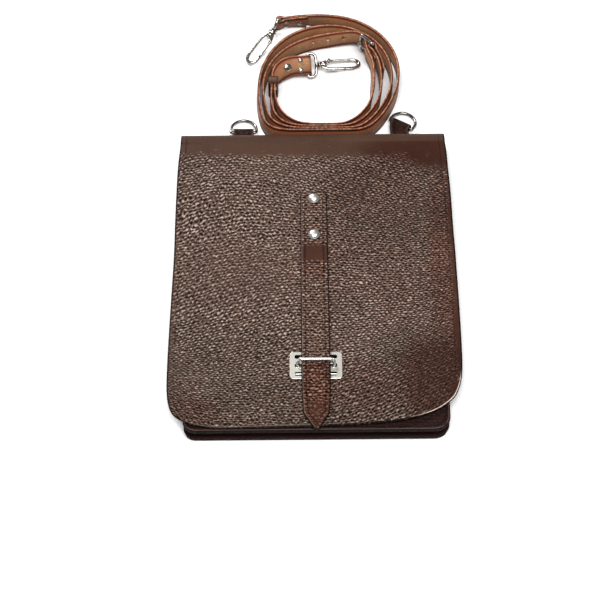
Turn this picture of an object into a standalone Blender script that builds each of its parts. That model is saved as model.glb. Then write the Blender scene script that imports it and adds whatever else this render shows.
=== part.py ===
"""Leather map case lying on its back, with its shoulder strap unclipped and rolled up behind the spine.

Sizes are in millimetres and become metres where a mesh is made. X runs across the case, +Y towards the
spine and +Z up out of the flap. The origin is the centre of the back panel's outer face.
"""

import math

import bmesh
import bpy
import numpy as np
from mathutils import Vector

MM = 0.001
GAP = 0.3

LEATHER = 2.2
PANEL = 2.0
GUSSET = 1.4
GUSSET_BEND = 1.6
CASE_DEPTH = 22.0
FLAP_MID = CASE_DEPTH - LEATHER / 2
BACK_MID = LEATHER / 2

SPINE_CENTRE_Y = 148.5
SPINE_REACH = 16.0
SPINE_HALF_HEIGHT = CASE_DEPTH / 2
SPINE_STEPS = 10
SPINE_HALF_WIDTH = 129.0

BODY_HALF_WIDTH = 118.5
BODY_FOOT_Y = -165.5
BODY_TOP_Y = 136.0
BODY_CORNER_LEFT = 11.0
BODY_CORNER_RIGHT = 14.0
# Half width of the back panel between its corners and the spine: y, half width.
BACK_SIDES = ((-100.0, 118.5), (-30.0, 118.5), (40.0, 119.0), (95.0, 121.0), (130.0, 126.0))
SEAM_WIDTH = 6.0
FRONT_UNDER = 15.8

# Edge of the flap from the spine to the middle of each rounded corner: left x, left y, right x, right y.
FLAP_SIDES = (
    (-129.6, 139.0, 129.9, 139.0),
    (-130.7, 121.0, 130.3, 121.0),
    (-131.3, 86.0, 131.3, 86.0),
    (-131.4, 51.0, 131.5, 51.0),
    (-131.3, 17.0, 132.0, 17.0),
    (-132.0, -16.0, 132.2, -16.0),
    (-132.8, -49.0, 132.3, -46.0),
    (-133.5, -81.0, 132.2, -76.0),
    (-133.8, -108.0, 131.8, -98.0),
    (-133.6, -122.0, 130.9, -111.0),
    (-132.9, -132.0, 129.2, -120.0),
    (-131.5, -140.0, 126.6, -127.5),
    (-129.2, -146.6, 123.2, -133.8),
)
# Lower edge of the flap from left to right: x, y.
FLAP_FOOT = (
    (-125.6, -151.6),
    (-120.5, -155.2),
    (-113.5, -158.6),
    (-105.3, -161.1),
    (-94.0, -163.0),
    (-80.7, -163.9),
    (-57.0, -163.9),
    (-28.0, -163.4),
    (4.0, -162.6),
    (32.7, -161.6),
    (55.5, -160.0),
    (74.0, -157.9),
    (88.5, -154.6),
    (100.0, -150.6),
    (109.6, -145.6),
    (117.8, -139.4),
)

PLATE_Y = -102.5
PLATE_LENGTH = 47.2
PLATE_WIDTH = 27.6
PLATE_THICK = 1.2
PLATE_UNDER = CASE_DEPTH + GAP
PLATE_CORNER = 3.0
SLOT_LENGTH = 38.4
SLOT_WIDTH = 4.0
SLOT_PITCH = 8.8

STAPLE_WIRE = 3.0
STAPLE_BASE_UNDER = FRONT_UNDER + PANEL + GAP
STAPLE_BASE_THICK = 1.2
# Half length, half width and corner radius of the staple's base.
STAPLE_BASE = (22.0, 7.0, 2.0)
# Staple from its base to the middle of its bar: x, offset towards the spine, z.
STAPLE_PATH = (
    (16.5, 0.0, 18.8),
    (16.5, 0.0, 24.2),
    (16.4, 1.0, 26.2),
    (15.9, 2.1, 28.0),
    (14.6, 2.8, 29.1),
    (12.6, 3.0, 29.5),
)

TONGUE_THICK = 2.2
# Tongue strap from its top end to its tip: y, half width, z of its middle.
TONGUE = (
    (88.0, 9.5, 23.4),
    (86.8, 11.6, 23.4),
    (84.6, 12.5, 23.4),
    (60.0, 12.7, 23.4),
    (25.0, 12.8, 23.4),
    (-10.0, 12.9, 23.4),
    (-45.0, 13.0, 23.4),
    (-70.0, 13.1, 23.4),
    (-80.0, 13.1, 23.9),
    (-87.0, 13.1, 24.8),
    (-94.0, 13.1, 24.95),
    (-102.5, 13.1, 24.95),
    (-111.0, 13.1, 24.95),
    (-118.0, 13.1, 24.8),
    (-126.0, 12.9, 23.9),
    (-136.0, 12.5, 23.4),
    (-149.0, 11.8, 23.4),
    (-151.6, 11.3, 23.4),
    (-156.0, 8.7, 23.4),
    (-160.5, 5.8, 23.4),
    (-165.0, 2.9, 23.2),
    (-168.2, 0.8, 23.0),
)

RIVET_Y = (79.8, 38.2)
RIVET_HEAD = 11.0
RIVET_RISE = 3.4
RIVET_SHANK = 3.6
RIVET_HOLE = 4.3
RIVET_CAP = 8.0
RIVET_CAP_THICK = 0.9
RIVET_RIM = 0.7

RING_WIRE = 3.0
RING_WIDTH = 28.0
RING_SIDE = 4.8
TAB_THICK = 1.7
TAB_WIDTH = 20.0
TAB_MID = LEATHER + GAP + TAB_THICK + GAP / 2
TAB_ROOT_Y = 128.0
SLIT_CLEAR = 0.35
# D-rings: x and y of the bar's middle, turn of the bar in plan in degrees.
RING_LEFT = (-68.3, 174.9, 0.0)
RING_RIGHT = (88.0, 183.0, -30.0)

STRAP = 2.2
STRAP_WIDTH = 20.0
LAYER = STRAP + 0.5
ROLL_CENTRE = (17.0, 239.0)
ROLL_STEP = 5.0
# Long strap from the end with hook A inwards: angle, radius, lift of its lower edge, outward lean of its top.
LONG_ROLL = (
    (121.0, 83.4, 5.2, -18.5),
    (115.0, 80.6, 5.0, -17.0),
    (109.0, 77.6, 4.4, -13.0),
    (100.0, 75.2, 3.0, -7.0),
    (90.0, 74.2, 1.2, -1.0),
    (78.0, 73.8, 0.0, 4.0),
    (45.0, 72.4, 0.0, 2.0),
    (15.0, 71.3, 0.0, 0.0),
    (0.0, 70.5, 0.0, 0.0),
    (-15.0, 70.4, 0.0, 0.0),
    (-30.0, 71.6, 0.0, 0.0),
    (-45.0, 75.0, 0.0, 0.0),
    (-60.0, 79.4, 0.0, 0.0),
    (-67.0, 80.0, 0.0, 0.0),
    (-112.0, 79.0, 0.0, 0.0),
    (-120.0, 84.2, 0.0, 0.0),
    (-128.0, 90.5, 0.0, 0.0),
    (-135.0, 91.2, 0.0, -1.0),
    (-150.0, 80.4, 0.0, -3.0),
    (-165.0, 73.3, 0.0, -4.0),
    (-180.0, 68.9, 0.0, -4.0),
    (-195.0, 65.6, 0.0, -3.0),
    (-210.0, 63.6, 0.0, 0.0),
    (-225.0, 62.2, 0.0, 2.0),
    (-240.0, 61.2, 0.0, 4.0),
    (-255.0, 60.8, 0.0, 5.0),
    (-270.0, 61.0, 0.0, 5.0),
    (-285.0, 61.6, 0.0, 5.0),
    (-315.0, 62.5, 0.0, 3.0),
    (-345.0, 63.0, 0.0, 1.0),
    (-360.0, 63.5, 0.0, 0.0),
    (-375.0, 64.7, 0.0, 0.0),
    (-390.0, 66.1, 0.0, 0.0),
    (-405.0, 69.0, 0.0, 0.0),
    (-420.0, 73.8, 0.0, 0.0),
    (-428.0, 76.0, 0.0, 0.0),
    (-472.0, 76.0, 0.0, 0.0),
    (-480.0, 80.0, 0.0, 0.0),
    (-488.0, 83.5, 0.0, 0.0),
    (-495.0, 83.2, 0.0, 0.0),
    (-510.0, 74.0, 0.0, 0.0),
    (-525.0, 68.8, 0.0, 0.0),
    (-540.0, 63.6, 0.0, 0.0),
    (-555.0, 59.3, 0.0, 0.0),
    (-570.0, 55.2, 0.0, 0.0),
    (-585.0, 51.6, 0.0, 2.0),
    (-600.0, 49.0, 0.0, 4.0),
    (-615.0, 48.0, 0.2, 5.0),
    (-630.0, 48.4, 1.0, 5.0),
    (-645.0, 51.4, 2.8, 2.0),
    (-655.0, 55.8, 4.0, 0.0),
    (-662.0, 59.2, 4.0, 0.0),
    (-668.0, 60.1, 4.0, 0.0),
    (-672.0, 56.6, 4.0, 0.0),
    (-677.0, 52.0, 4.0, 0.0),
    (-681.0, 49.6, 4.0, 0.0),
    (-686.0, 47.4, 4.0, 0.0),
    (-692.0, 46.8, 4.0, 0.0),
    (-698.0, 46.6, 3.9, 0.0),
    (-705.0, 46.0, 3.4, 2.0),
    (-720.0, 44.6, 2.4, 6.0),
    (-735.0, 45.4, 1.4, 8.0),
    (-750.0, 49.6, 0.6, 6.0),
    (-765.0, 55.7, 0.0, 3.0),
    (-780.0, 61.7, 0.0, 0.0),
    (-795.0, 66.3, 0.0, 0.0),
    (-825.0, 68.0, 0.0, 0.0),
    (-840.0, 71.0, 0.0, 0.0),
    (-855.0, 68.6, 0.2, 0.0),
    (-870.0, 62.6, 1.2, 0.0),
    (-880.0, 57.8, 2.3, 0.0),
    (-885.0, 56.6, 2.3, 0.0),
)
# Where each lap of the long strap meets the flat run behind the spine: last angle of the lap, y of the run.
LONG_RUNS = ((-270.0, 166.1), (-640.0, 168.6), (-900.0, 173.7))
# Short strap from the buckle to the keeper, with the same columns.
SHORT_ROLL = (
    (27.0, 51.9, 4.0, 0.0),
    (15.0, 52.4, 4.0, 0.0),
    (0.0, 52.2, 2.6, 3.0),
    (-15.0, 54.2, 1.4, 3.0),
    (-30.0, 58.4, 0.6, 2.0),
    (-45.0, 62.9, 0.0, 0.0),
    (-60.0, 68.0, 0.0, 0.0),
    (-75.0, 72.0, 0.0, 0.0),
    (-105.0, 72.0, 0.0, 0.0),
    (-120.0, 76.5, 0.0, 0.0),
    (-128.0, 79.0, 0.0, 0.0),
    (-135.0, 77.6, 0.2, 0.0),
    (-150.0, 67.4, 1.2, 0.0),
    (-163.0, 59.6, 2.3, 0.0),
)
SHORT_RUN_Y = 171.2
# Short strap beyond the keeper, twisting face up to hook B: x, y, z of its middle, outward lean.
SHORT_END = (
    (-40.4, 228.4, 12.3, 0.0),
    (-39.2, 235.5, 12.2, 4.0),
    (-36.0, 242.2, 12.1, 22.0),
    (-31.0, 247.8, 11.9, 40.0),
    (-25.0, 252.6, 11.7, 51.0),
    (-18.2, 255.8, 11.4, 57.0),
    (-11.2, 255.0, 10.7, 60.0),
)
# Punched holes in the long strap: angle.
PUNCHED = (-612.0, -630.0, -648.0)
PUNCHED_WIDTH = 4.2

FOLD_INNER = 2.1
FOLD_RADIUS = FOLD_INNER + STRAP / 2
TAIL_LENGTH = 27.0
# Neck of a fold, between the bar and the place where both layers meet: forward of the bar, off its middle.
FOLD_NECK = ((-4.6, 1.65), (-1.8, 2.5))
FOLD_LEAD = 7.0

BUCKLE_WIRE = 3.0
BUCKLE_WIDTH = 27.0
BUCKLE_LENGTH = 17.0
BUCKLE_CORNER = 2.6
PRONG_WIRE = 2.0
BUCKLE_HEADING = 132.0

KEEPER_THICK = 1.5
KEEPER_WIDTH = 9.0
KEEPER_ANGLE = -168.5
KEEPER_SLACK = 0.8
KEEPER_CORNER = 1.4

SMALL_RIVET_HEAD = 5.0
SMALL_RIVET_SHANK = 2.4
SMALL_RIVET_RISE = 1.0
# Rivets of each strap end: back from the bar, up from the strap's middle line.
RIVETS_A = ((9.0, 5.0), (9.0, -5.0), (22.0, 0.0))
RIVETS_B = ((9.5, 5.0), (9.5, -5.0))
RIVETS_BUCKLE = ((11.0, 5.0), (11.0, -5.0))
STUD_HEAD = 8.0
HOLE_OVERRUN = 2.4
STUD_BEFORE_EYE = 26.0
STUD_TAIL = 8.0

EYE_WIRE = 3.0
EYE_WIDTH = 27.0
EYE_DEPTH = 9.5
HOOK_WIRE = 3.6
HOOK_TIP_A = (-65.0, 264.5, 2.6)
HOOK_TIP_B = (50.3, 263.0, 2.6)
BARREL_RADIUS = 4.2
BARREL_LENGTH = 7.0
BARREL_BORE = 1.9
SHANK_RADIUS = 1.5
SHANK_HEAD_RADIUS = 2.7
# Hook from the barrel round its tip to the nose, in its own plane: along from the eye's bar, across.
HOOK_PATH = (
    (14.6, -2.4),
    (17.6, -3.9),
    (21.0, -5.2),
    (26.0, -5.9),
    (40.0, -5.9),
    (46.5, -5.6),
    (50.4, -4.3),
    (52.8, -2.2),
    (53.6, 0.4),
    (52.6, 3.0),
    (50.2, 4.9),
    (46.6, 5.6),
    (42.8, 5.5),
)
GATE_PATH = ((22.8, 4.85), (32.0, 5.2), (42.4, 5.5))
GATE_WIRE = 2.8
BRACKET_PATH = ((14.6, 2.6), (18.4, 4.0), (22.0, 4.8))

LEATHER_COLOURS = {
    "case_leather": (0.135, 0.082, 0.060),
    "strap_leather": (0.270, 0.125, 0.070),
}
METAL_COLOURS = {
    "nickel": (0.62, 0.60, 0.57),
    "dark_metal": (0.30, 0.28, 0.26),
}


def clear_scene():
    for obj in list(bpy.data.objects):
        bpy.data.objects.remove(obj, do_unlink=True)


def make_material(name, colour, metallic, roughness):
    material = bpy.data.materials.new(name)
    material.use_nodes = True
    shader = material.node_tree.nodes["Principled BSDF"]
    shader.inputs["Base Color"].default_value = (*colour, 1.0)
    shader.inputs["Metallic"].default_value = metallic
    shader.inputs["Roughness"].default_value = roughness
    return material


def unit(vector):
    vector = np.asarray(vector, float)
    return vector / np.linalg.norm(vector)


class Builder:
    """Makes the objects and puts each in its collection."""

    def __init__(self):
        self.pieces = bpy.data.collections.new("map_case")
        self.cutters = bpy.data.collections.new("cutters")
        bpy.context.scene.collection.children.link(self.pieces)
        bpy.context.scene.collection.children.link(self.cutters)
        self.cutters.hide_render = True
        self.materials = {}
        for name, colour in LEATHER_COLOURS.items():
            self.materials[name] = make_material(name, colour, 0.0, 0.55)
        for name, colour in METAL_COLOURS.items():
            self.materials[name] = make_material(name, colour, 1.0, 0.35)

    def add(self, name, mesh, material=None, smooth=True):
        obj = bpy.data.objects.new(name, mesh)
        if material is None:
            self.cutters.objects.link(obj)
            obj.hide_render = True
            obj.display_type = "WIRE"
            return obj
        self.pieces.objects.link(obj)
        own = self.materials[material].copy()
        own.name = f"{name}_{material}"
        mesh.materials.append(own)
        for polygon in mesh.polygons:
            polygon.use_smooth = smooth
        return obj

    def grid(self, name, rows, material=None, closed=False, thickness=None):
        """A sheet through rows of points, all of one length, given a thickness about its middle."""
        mesh = bpy.data.meshes.new(name)
        shape = bmesh.new()
        lines = [[shape.verts.new(np.asarray(point) * MM) for point in row] for row in rows]
        pairs = list(zip(lines, lines[1:]))
        if closed:
            pairs.append((lines[-1], lines[0]))
        for line, following in pairs:
            for i in range(len(line) - 1):
                shape.faces.new((line[i], line[i + 1], following[i + 1], following[i]))
        shape.to_mesh(mesh)
        shape.free()
        obj = self.add(name, mesh, material)
        if thickness:
            solid = obj.modifiers.new("thickness", "SOLIDIFY")
            solid.thickness = thickness * MM
            solid.offset = 0.0
            solid.use_even_offset = True
        return obj

    def slab(self, name, outline, low, high, material=None, bevel=0.0):
        """A flat piece with this outline between two heights."""
        mesh = bpy.data.meshes.new(name)
        shape = bmesh.new()
        corners = [shape.verts.new((x * MM, y * MM, low * MM)) for x, y in outline]
        shape.faces.new(corners)
        if shape.faces[:][0].normal.z > 0:
            bmesh.ops.reverse_faces(shape, faces=shape.faces[:])
        raised = bmesh.ops.extrude_face_region(shape, geom=shape.faces[:])
        moved = [item for item in raised["geom"] if isinstance(item, bmesh.types.BMVert)]
        bmesh.ops.translate(shape, verts=moved, vec=(0.0, 0.0, (high - low) * MM))
        bmesh.ops.recalc_face_normals(shape, faces=shape.faces[:])
        shape.to_mesh(mesh)
        shape.free()
        obj = self.add(name, mesh, material, smooth=False)
        if bevel:
            edge = obj.modifiers.new("edge", "BEVEL")
            edge.width = bevel * MM
            edge.segments = 2
            edge.limit_method = "ANGLE"
            edge.angle_limit = math.radians(50.0)
        return obj

    def box(self, name, low, high, material=None):
        outline = ((low[0], low[1]), (high[0], low[1]), (high[0], high[1]), (low[0], high[1]))
        return self.slab(name, outline, low[2], high[2], material)

    def wire(self, name, path, radius, material=None, cyclic=False, resolution=2):
        """A round wire through these points, as a mesh."""
        curve = bpy.data.curves.new(name, "CURVE")
        curve.dimensions = "3D"
        curve.bevel_depth = radius * MM
        curve.bevel_resolution = resolution
        curve.use_fill_caps = not cyclic
        spline = curve.splines.new("POLY")
        spline.points.add(len(path) - 1)
        for point, place in zip(spline.points, path):
            point.co = (*(np.asarray(place) * MM), 1.0)
        spline.use_cyclic_u = cyclic
        drawn = bpy.data.objects.new(name, curve)
        bpy.context.scene.collection.objects.link(drawn)
        bpy.context.view_layer.update()
        graph = bpy.context.evaluated_depsgraph_get()
        mesh = bpy.data.meshes.new_from_object(drawn.evaluated_get(graph))
        bpy.data.objects.remove(drawn, do_unlink=True)
        bpy.data.curves.remove(curve)
        mesh.materials.clear()
        shape = bmesh.new()
        shape.from_mesh(mesh)
        bmesh.ops.remove_doubles(shape, verts=shape.verts, dist=0.00001)
        bmesh.ops.recalc_face_normals(shape, faces=shape.faces[:])
        shape.to_mesh(mesh)
        shape.free()
        mesh.name = name
        return self.add(name, mesh, material)

    def lathe(self, name, profile, place, axis, material=None, sides=20):
        """A turned piece along a direction: profile of (radius, height) from the axis round to the axis."""
        mesh = bpy.data.meshes.new(name)
        shape = bmesh.new()
        points = [shape.verts.new((radius * MM, 0.0, height * MM)) for radius, height in profile]
        edges = [shape.edges.new(pair) for pair in zip(points, points[1:])]
        bmesh.ops.spin(
            shape,
            geom=points + edges,
            axis=(0.0, 0.0, 1.0),
            cent=(0.0, 0.0, 0.0),
            steps=sides,
            angle=2.0 * math.pi,
        )
        bmesh.ops.remove_doubles(shape, verts=shape.verts, dist=0.00001)
        bmesh.ops.recalc_face_normals(shape, faces=shape.faces[:])
        along = unit(axis)
        across = unit(np.cross((0.0, 1.0, 0.0) if abs(along[1]) < 0.9 else (1.0, 0.0, 0.0), along))
        up = np.cross(along, across)
        for vert in shape.verts:
            x, y, z = vert.co
            vert.co = across * x + up * y + along * z + np.asarray(place) * MM
        shape.to_mesh(mesh)
        shape.free()
        return self.add(name, mesh, material)

    def rod(self, name, start, end, radius, material=None, sides=16):
        start = np.asarray(start, float)
        length = float(np.linalg.norm(np.asarray(end) - start))
        profile = ((0.0, 0.0), (radius, 0.0), (radius, length), (0.0, length))
        return self.lathe(name, profile, start, np.asarray(end) - start, material, sides)

    def combine(self, obj, other, operation):
        step = obj.modifiers.new(other.name, "BOOLEAN")
        step.operation = operation
        step.solver = "EXACT"
        step.object = other

    def cut(self, obj, cutter):
        self.combine(obj, cutter, "DIFFERENCE")

    def join(self, obj, other):
        self.combine(obj, other, "UNION")


def set_origin(obj, place):
    """Moves the origin of a piece, and not its shape, onto its joint's axis."""
    for vert in obj.data.vertices:
        vert.co -= Vector(place * MM)
    obj.location = place * MM


def rounded_outline(half_width, low, high, left, right, steps=8):
    """Body outline from its upper left end round the lower corners to its upper right end."""
    points = [(-half_width, high)]
    for step in range(steps + 1):
        angle = math.pi + step / steps * math.pi / 2
        points.append((-half_width + left + left * math.cos(angle), low + left + left * math.sin(angle)))
    for step in range(steps + 1):
        angle = 1.5 * math.pi + step / steps * math.pi / 2
        points.append((half_width - right + right * math.cos(angle), low + right + right * math.sin(angle)))
    points.append((half_width, high))
    return points


def coons(top, left, right, foot):
    """Rows of points between four edges that share their corners, first row on top."""
    rows = []
    last_row = len(left) - 1
    last = len(top) - 1
    top, left, right, foot = (np.asarray(edge, float) for edge in (top, left, right, foot))
    for j in range(last_row + 1):
        v = j / last_row
        row = []
        for i in range(last + 1):
            u = i / last
            ruled = (1 - v) * top[i] + v * foot[i] + (1 - u) * left[j] + u * right[j]
            corners = (1 - v) * ((1 - u) * top[0] + u * top[-1]) + v * ((1 - u) * foot[0] + u * foot[-1])
            row.append(ruled - corners)
        rows.append(row)
    return rows


def case_rows():
    """Rows of points of the sheet that is back panel, spine and flap, from the back's foot to the flap's."""
    across = len(FLAP_FOOT)
    shares = np.linspace(-1.0, 1.0, across)

    corner = 8
    body = rounded_outline(BODY_HALF_WIDTH, BODY_FOOT_Y, BODY_TOP_Y, BODY_CORNER_LEFT, BODY_CORNER_RIGHT)
    lower_left = body[1 + corner // 2]
    lower_right = body[-2 - corner // 2]
    foot_left = body[1 + corner // 2 : 2 + corner]
    foot_right = body[2 + corner : -1 - corner // 2]
    spare = across - len(foot_left) - len(foot_right)
    between = np.linspace(foot_left[-1], foot_right[0], spare + 2)[1:-1]
    foot = [*foot_left, *map(tuple, between), *foot_right]
    left = [lower_left, *reversed(body[1 : 1 + corner // 2])]
    right = [lower_right, *body[-1 - corner // 2 : -1]]
    for y, half in BACK_SIDES:
        left.append((-half, y))
        right.append((half, y))
    top = [(share * SPINE_HALF_WIDTH, SPINE_CENTRE_Y) for share in shares]
    left.append(top[0])
    right.append(top[-1])
    back = coons(foot, left, right, top)
    rows = [[(x, y, BACK_MID) for x, y in row] for row in back]

    reach = SPINE_REACH - LEATHER / 2
    rise = SPINE_HALF_HEIGHT - LEATHER / 2
    for step in range(1, SPINE_STEPS):
        angle = -math.pi / 2 + math.pi * step / SPINE_STEPS
        y = SPINE_CENTRE_Y + reach * math.cos(angle)
        z = SPINE_HALF_HEIGHT + rise * math.sin(angle)
        rows.append([(share * SPINE_HALF_WIDTH, y, z) for share in shares])

    left = [top[0], *((row[0], row[1]) for row in FLAP_SIDES), FLAP_FOOT[0]]
    right = [top[-1], *((row[2], row[3]) for row in FLAP_SIDES), FLAP_FOOT[-1]]
    for row in coons(top, left, right, FLAP_FOOT):
        rows.append([(x, y, FLAP_MID) for x, y in row])
    return rows


def plate_slots():
    """Centre y of each of the three slots."""
    return [PLATE_Y + step * SLOT_PITCH for step in (-1, 0, 1)]


def build_case(make):
    leather = make.grid("case_leather", case_rows(), "case_leather", thickness=LEATHER)
    for number, y in enumerate(plate_slots()):
        half_x = SLOT_LENGTH / 2 + GAP
        half_y = SLOT_WIDTH / 2 + GAP
        low = (-half_x, y - half_y, CASE_DEPTH - 5.0)
        high = (half_x, y + half_y, CASE_DEPTH + 3.0)
        make.cut(leather, make.box(f"flap_slot_{number}", low, high))
    for number, y in enumerate(RIVET_Y):
        hole = make.rod(f"flap_hole_{number}", (0.0, y, 17.0), (0.0, y, 23.0), RIVET_HOLE / 2)
        make.cut(leather, hole)
    for name, ring in (("left", RING_LEFT), ("right", RING_RIGHT)):
        half = TAB_WIDTH / 2 + SLIT_CLEAR
        thick = TAB_THICK + GAP / 2 + SLIT_CLEAR
        low = (ring[0] - half, SPINE_CENTRE_Y + 2.0, LEATHER + 0.1)
        high = (ring[0] + half, SPINE_CENTRE_Y + SPINE_REACH + 4.0, TAB_MID + thick)
        make.cut(leather, make.box(f"slit_{name}", low, high))

    body = rounded_outline(BODY_HALF_WIDTH, BODY_FOOT_Y, BODY_TOP_Y, BODY_CORNER_LEFT, BODY_CORNER_RIGHT)
    make.slab("front_panel", body, FRONT_UNDER, FRONT_UNDER + PANEL, "case_leather", bevel=0.5)

    low = LEATHER + GAP + GUSSET / 2
    high = FRONT_UNDER - GAP - GUSSET / 2
    bend = GUSSET_BEND
    section = (
        (0.0, low),
        (SEAM_WIDTH - bend, low),
        (SEAM_WIDTH - bend * 0.3, low + bend * 0.3),
        (SEAM_WIDTH, low + bend),
        (SEAM_WIDTH, high - bend),
        (SEAM_WIDTH - bend * 0.3, high - bend * 0.3),
        (SEAM_WIDTH - bend, high),
        (0.0, high),
    )
    edges = []
    for inset, z in section:
        line = rounded_outline(
            BODY_HALF_WIDTH - inset,
            BODY_FOOT_Y + inset,
            BODY_TOP_Y,
            BODY_CORNER_LEFT - inset,
            BODY_CORNER_RIGHT - inset,
        )
        edges.append([(x, y, z) for x, y in line])
    make.grid("gusset", edges, "case_leather", thickness=GUSSET)


def build_tongue(make):
    shares = (-1.0, -0.5, 0.0, 0.5, 1.0)
    rows = [[(share * half, y, z) for share in shares] for y, half, z in TONGUE]
    tongue = make.grid("tongue_strap", rows, "case_leather", thickness=TONGUE_THICK)
    for number, y in enumerate(RIVET_Y):
        hole = make.rod(f"tongue_hole_{number}", (0.0, y, 21.0), (0.0, y, 26.0), RIVET_HOLE / 2)
        make.cut(tongue, hole)

    top = CASE_DEPTH + GAP + TONGUE_THICK + GAP
    under = CASE_DEPTH - LEATHER - GAP
    head = RIVET_HEAD / 2
    shank = RIVET_SHANK / 2
    cap = RIVET_CAP / 2
    foot = under - RIVET_CAP_THICK
    profile = [(0.0, foot), (cap, foot), (cap, under), (shank, under), (shank, top), (head, top)]
    profile.append((head, top + RIVET_RIM))
    for step in range(1, 5):
        angle = step / 5 * math.pi / 2
        rise = RIVET_RIM + (RIVET_RISE - RIVET_RIM) * math.sin(angle)
        profile.append((head * math.cos(angle), top + rise))
    profile.append((0.0, top + RIVET_RISE))
    for name, y in zip(("rivet_upper", "rivet_lower"), RIVET_Y):
        make.lathe(name, profile, (0.0, y, 0.0), (0.0, 0.0, 1.0), "nickel", sides=18)


def rounded_box(half_x, half_y, corner, centre, steps=3):
    points = []
    for quarter in range(4):
        sign_x = (1, -1, -1, 1)[quarter]
        sign_y = (1, 1, -1, -1)[quarter]
        for step in range(steps + 1):
            angle = (quarter + step / steps) * math.pi / 2
            x = centre[0] + sign_x * (half_x - corner) + corner * math.cos(angle)
            y = centre[1] + sign_y * (half_y - corner) + corner * math.sin(angle)
            points.append((x, y))
    return points


def build_fastener(make):
    outline = rounded_box(PLATE_LENGTH / 2, PLATE_WIDTH / 2, PLATE_CORNER, (0.0, PLATE_Y))
    plate = make.slab("slot_plate", outline, PLATE_UNDER, PLATE_UNDER + PLATE_THICK, "nickel", bevel=0.3)
    for number, y in enumerate(plate_slots()):
        slot = rounded_box(SLOT_LENGTH / 2, SLOT_WIDTH / 2, SLOT_WIDTH * 0.4, (0.0, y))
        cutter = make.slab(f"plate_slot_{number}", slot, PLATE_UNDER - 2.0, PLATE_UNDER + PLATE_THICK + 2.0)
        make.cut(plate, cutter)

    half = [(x, PLATE_Y + offset, z) for x, offset, z in STAPLE_PATH]
    path = half + [(-x, y, z) for x, y, z in reversed(half)]
    staple = make.wire("staple", path, STAPLE_WIRE / 2, "nickel")
    base_high = STAPLE_BASE_UNDER + STAPLE_BASE_THICK
    base = rounded_box(*STAPLE_BASE, (0.0, PLATE_Y))
    make.join(staple, make.slab("staple_base", base, STAPLE_BASE_UNDER, base_high))


def ring_frame(ring):
    turn = math.radians(ring[2])
    across = np.array((math.cos(turn), math.sin(turn), 0.0))
    out = np.array((-math.sin(turn), math.cos(turn), 0.0))
    return np.array((ring[0], ring[1], TAB_MID)), across, out


def ring_droop():
    """Angle at which the ring's far end lies on the floor."""
    reach = RING_SIDE + RING_WIDTH / 2 - RING_WIRE / 2
    return math.asin((TAB_MID - RING_WIRE / 2) / reach)


def build_ring(make, name, ring):
    bar, across, out = ring_frame(ring)
    droop = ring_droop()
    away = out * math.cos(droop) - np.array((0.0, 0.0, math.sin(droop)))
    radius = (RING_WIDTH - RING_WIRE) / 2
    path = [bar + across * x for x in (-radius + 1.2, 0.0, radius - 1.2)]
    path.append(bar + across * radius + away * 1.2)
    for step in range(13):
        angle = math.pi * step / 12
        path.append(bar + across * radius * math.cos(angle) + away * (RING_SIDE + radius * math.sin(angle)))
    path.append(bar - across * radius + away * 1.2)
    obj = make.wire(f"d_ring_{name}", path, RING_WIRE / 2, "dark_metal", cyclic=True)
    set_origin(obj, bar)

    inner = np.array((1.0, 0.0, 0.0))
    straight = np.array((0.0, 1.0, 0.0))
    apart = (TAB_THICK + GAP) / 2
    curl = FOLD_INNER + TAB_THICK / 2
    root = np.array((ring[0], TAB_ROOT_Y, TAB_MID))
    mouth = np.array((ring[0], SPINE_CENTRE_Y + SPINE_REACH + 1.5, TAB_MID))
    reach = float((bar - mouth) @ straight)
    rising = []
    for share in (0.0, 0.5, 1.0):
        rising.append((root + (mouth - root) * share, inner, apart))
    near = bar - out * 4.6
    rising.append(((mouth + near) / 2 if reach > 12.0 else near, unit(inner + across), apart * 1.05))
    if reach > 12.0:
        rising.append((near, across, apart * 1.1))
    rising.append((bar - out * 2.0, across, curl * 0.88))
    rows = []
    half = TAB_WIDTH / 2
    up = np.array((0.0, 0.0, 1.0))
    for centre, side, lift in rising:
        rows.append([centre + side * x + up * lift for x in (-half, 0.0, half)])
    for step in range(7):
        angle = math.pi / 2 - math.pi * step / 6
        centre = bar + out * curl * math.cos(angle) + up * curl * math.sin(angle)
        rows.append([centre + across * x for x in (-half, 0.0, half)])
    for centre, side, lift in reversed(rising):
        rows.append([centre + side * x - up * lift for x in (-half, 0.0, half)])
    make.grid(f"ring_tab_{name}", rows, "case_leather", thickness=TAB_THICK)


def polar(angle, radius, z=0.0):
    turn = math.radians(angle)
    return np.array(
        (
            ROLL_CENTRE[0] + radius * math.cos(turn),
            ROLL_CENTRE[1] + radius * math.sin(turn),
            z,
        )
    )


def smoothed(values, passes=2):
    values = np.array(values, float)
    for _ in range(passes):
        inner = (values[:-2] + 2.0 * values[1:-1] + values[2:]) / 4.0
        values = np.concatenate((values[:1], inner, values[-1:]))
    return values


def roll_points(table, runs):
    """Middle line of a rolled strap as points, with the lean at each: rows of x, y, z, lean."""
    table = np.array(table)
    count = int(round((table[0, 0] - table[-1, 0]) / ROLL_STEP))
    angles = np.linspace(table[0, 0], table[-1, 0], count + 1)
    columns = [np.interp(-angles, -table[:, 0], table[:, k]) for k in (1, 2, 3)]
    rows = []
    for angle, radius, lift, lean in zip(angles, *columns):
        tip = math.radians(abs(lean))
        height = (STRAP_WIDTH * math.cos(tip) + STRAP * math.sin(tip)) / 2
        point = polar(angle, radius, lift + height)
        run = next(y for last, y in runs if angle >= last)
        point[1] = max(point[1], run)
        rows.append((*point, lean))
    return smoothed(rows)


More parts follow.
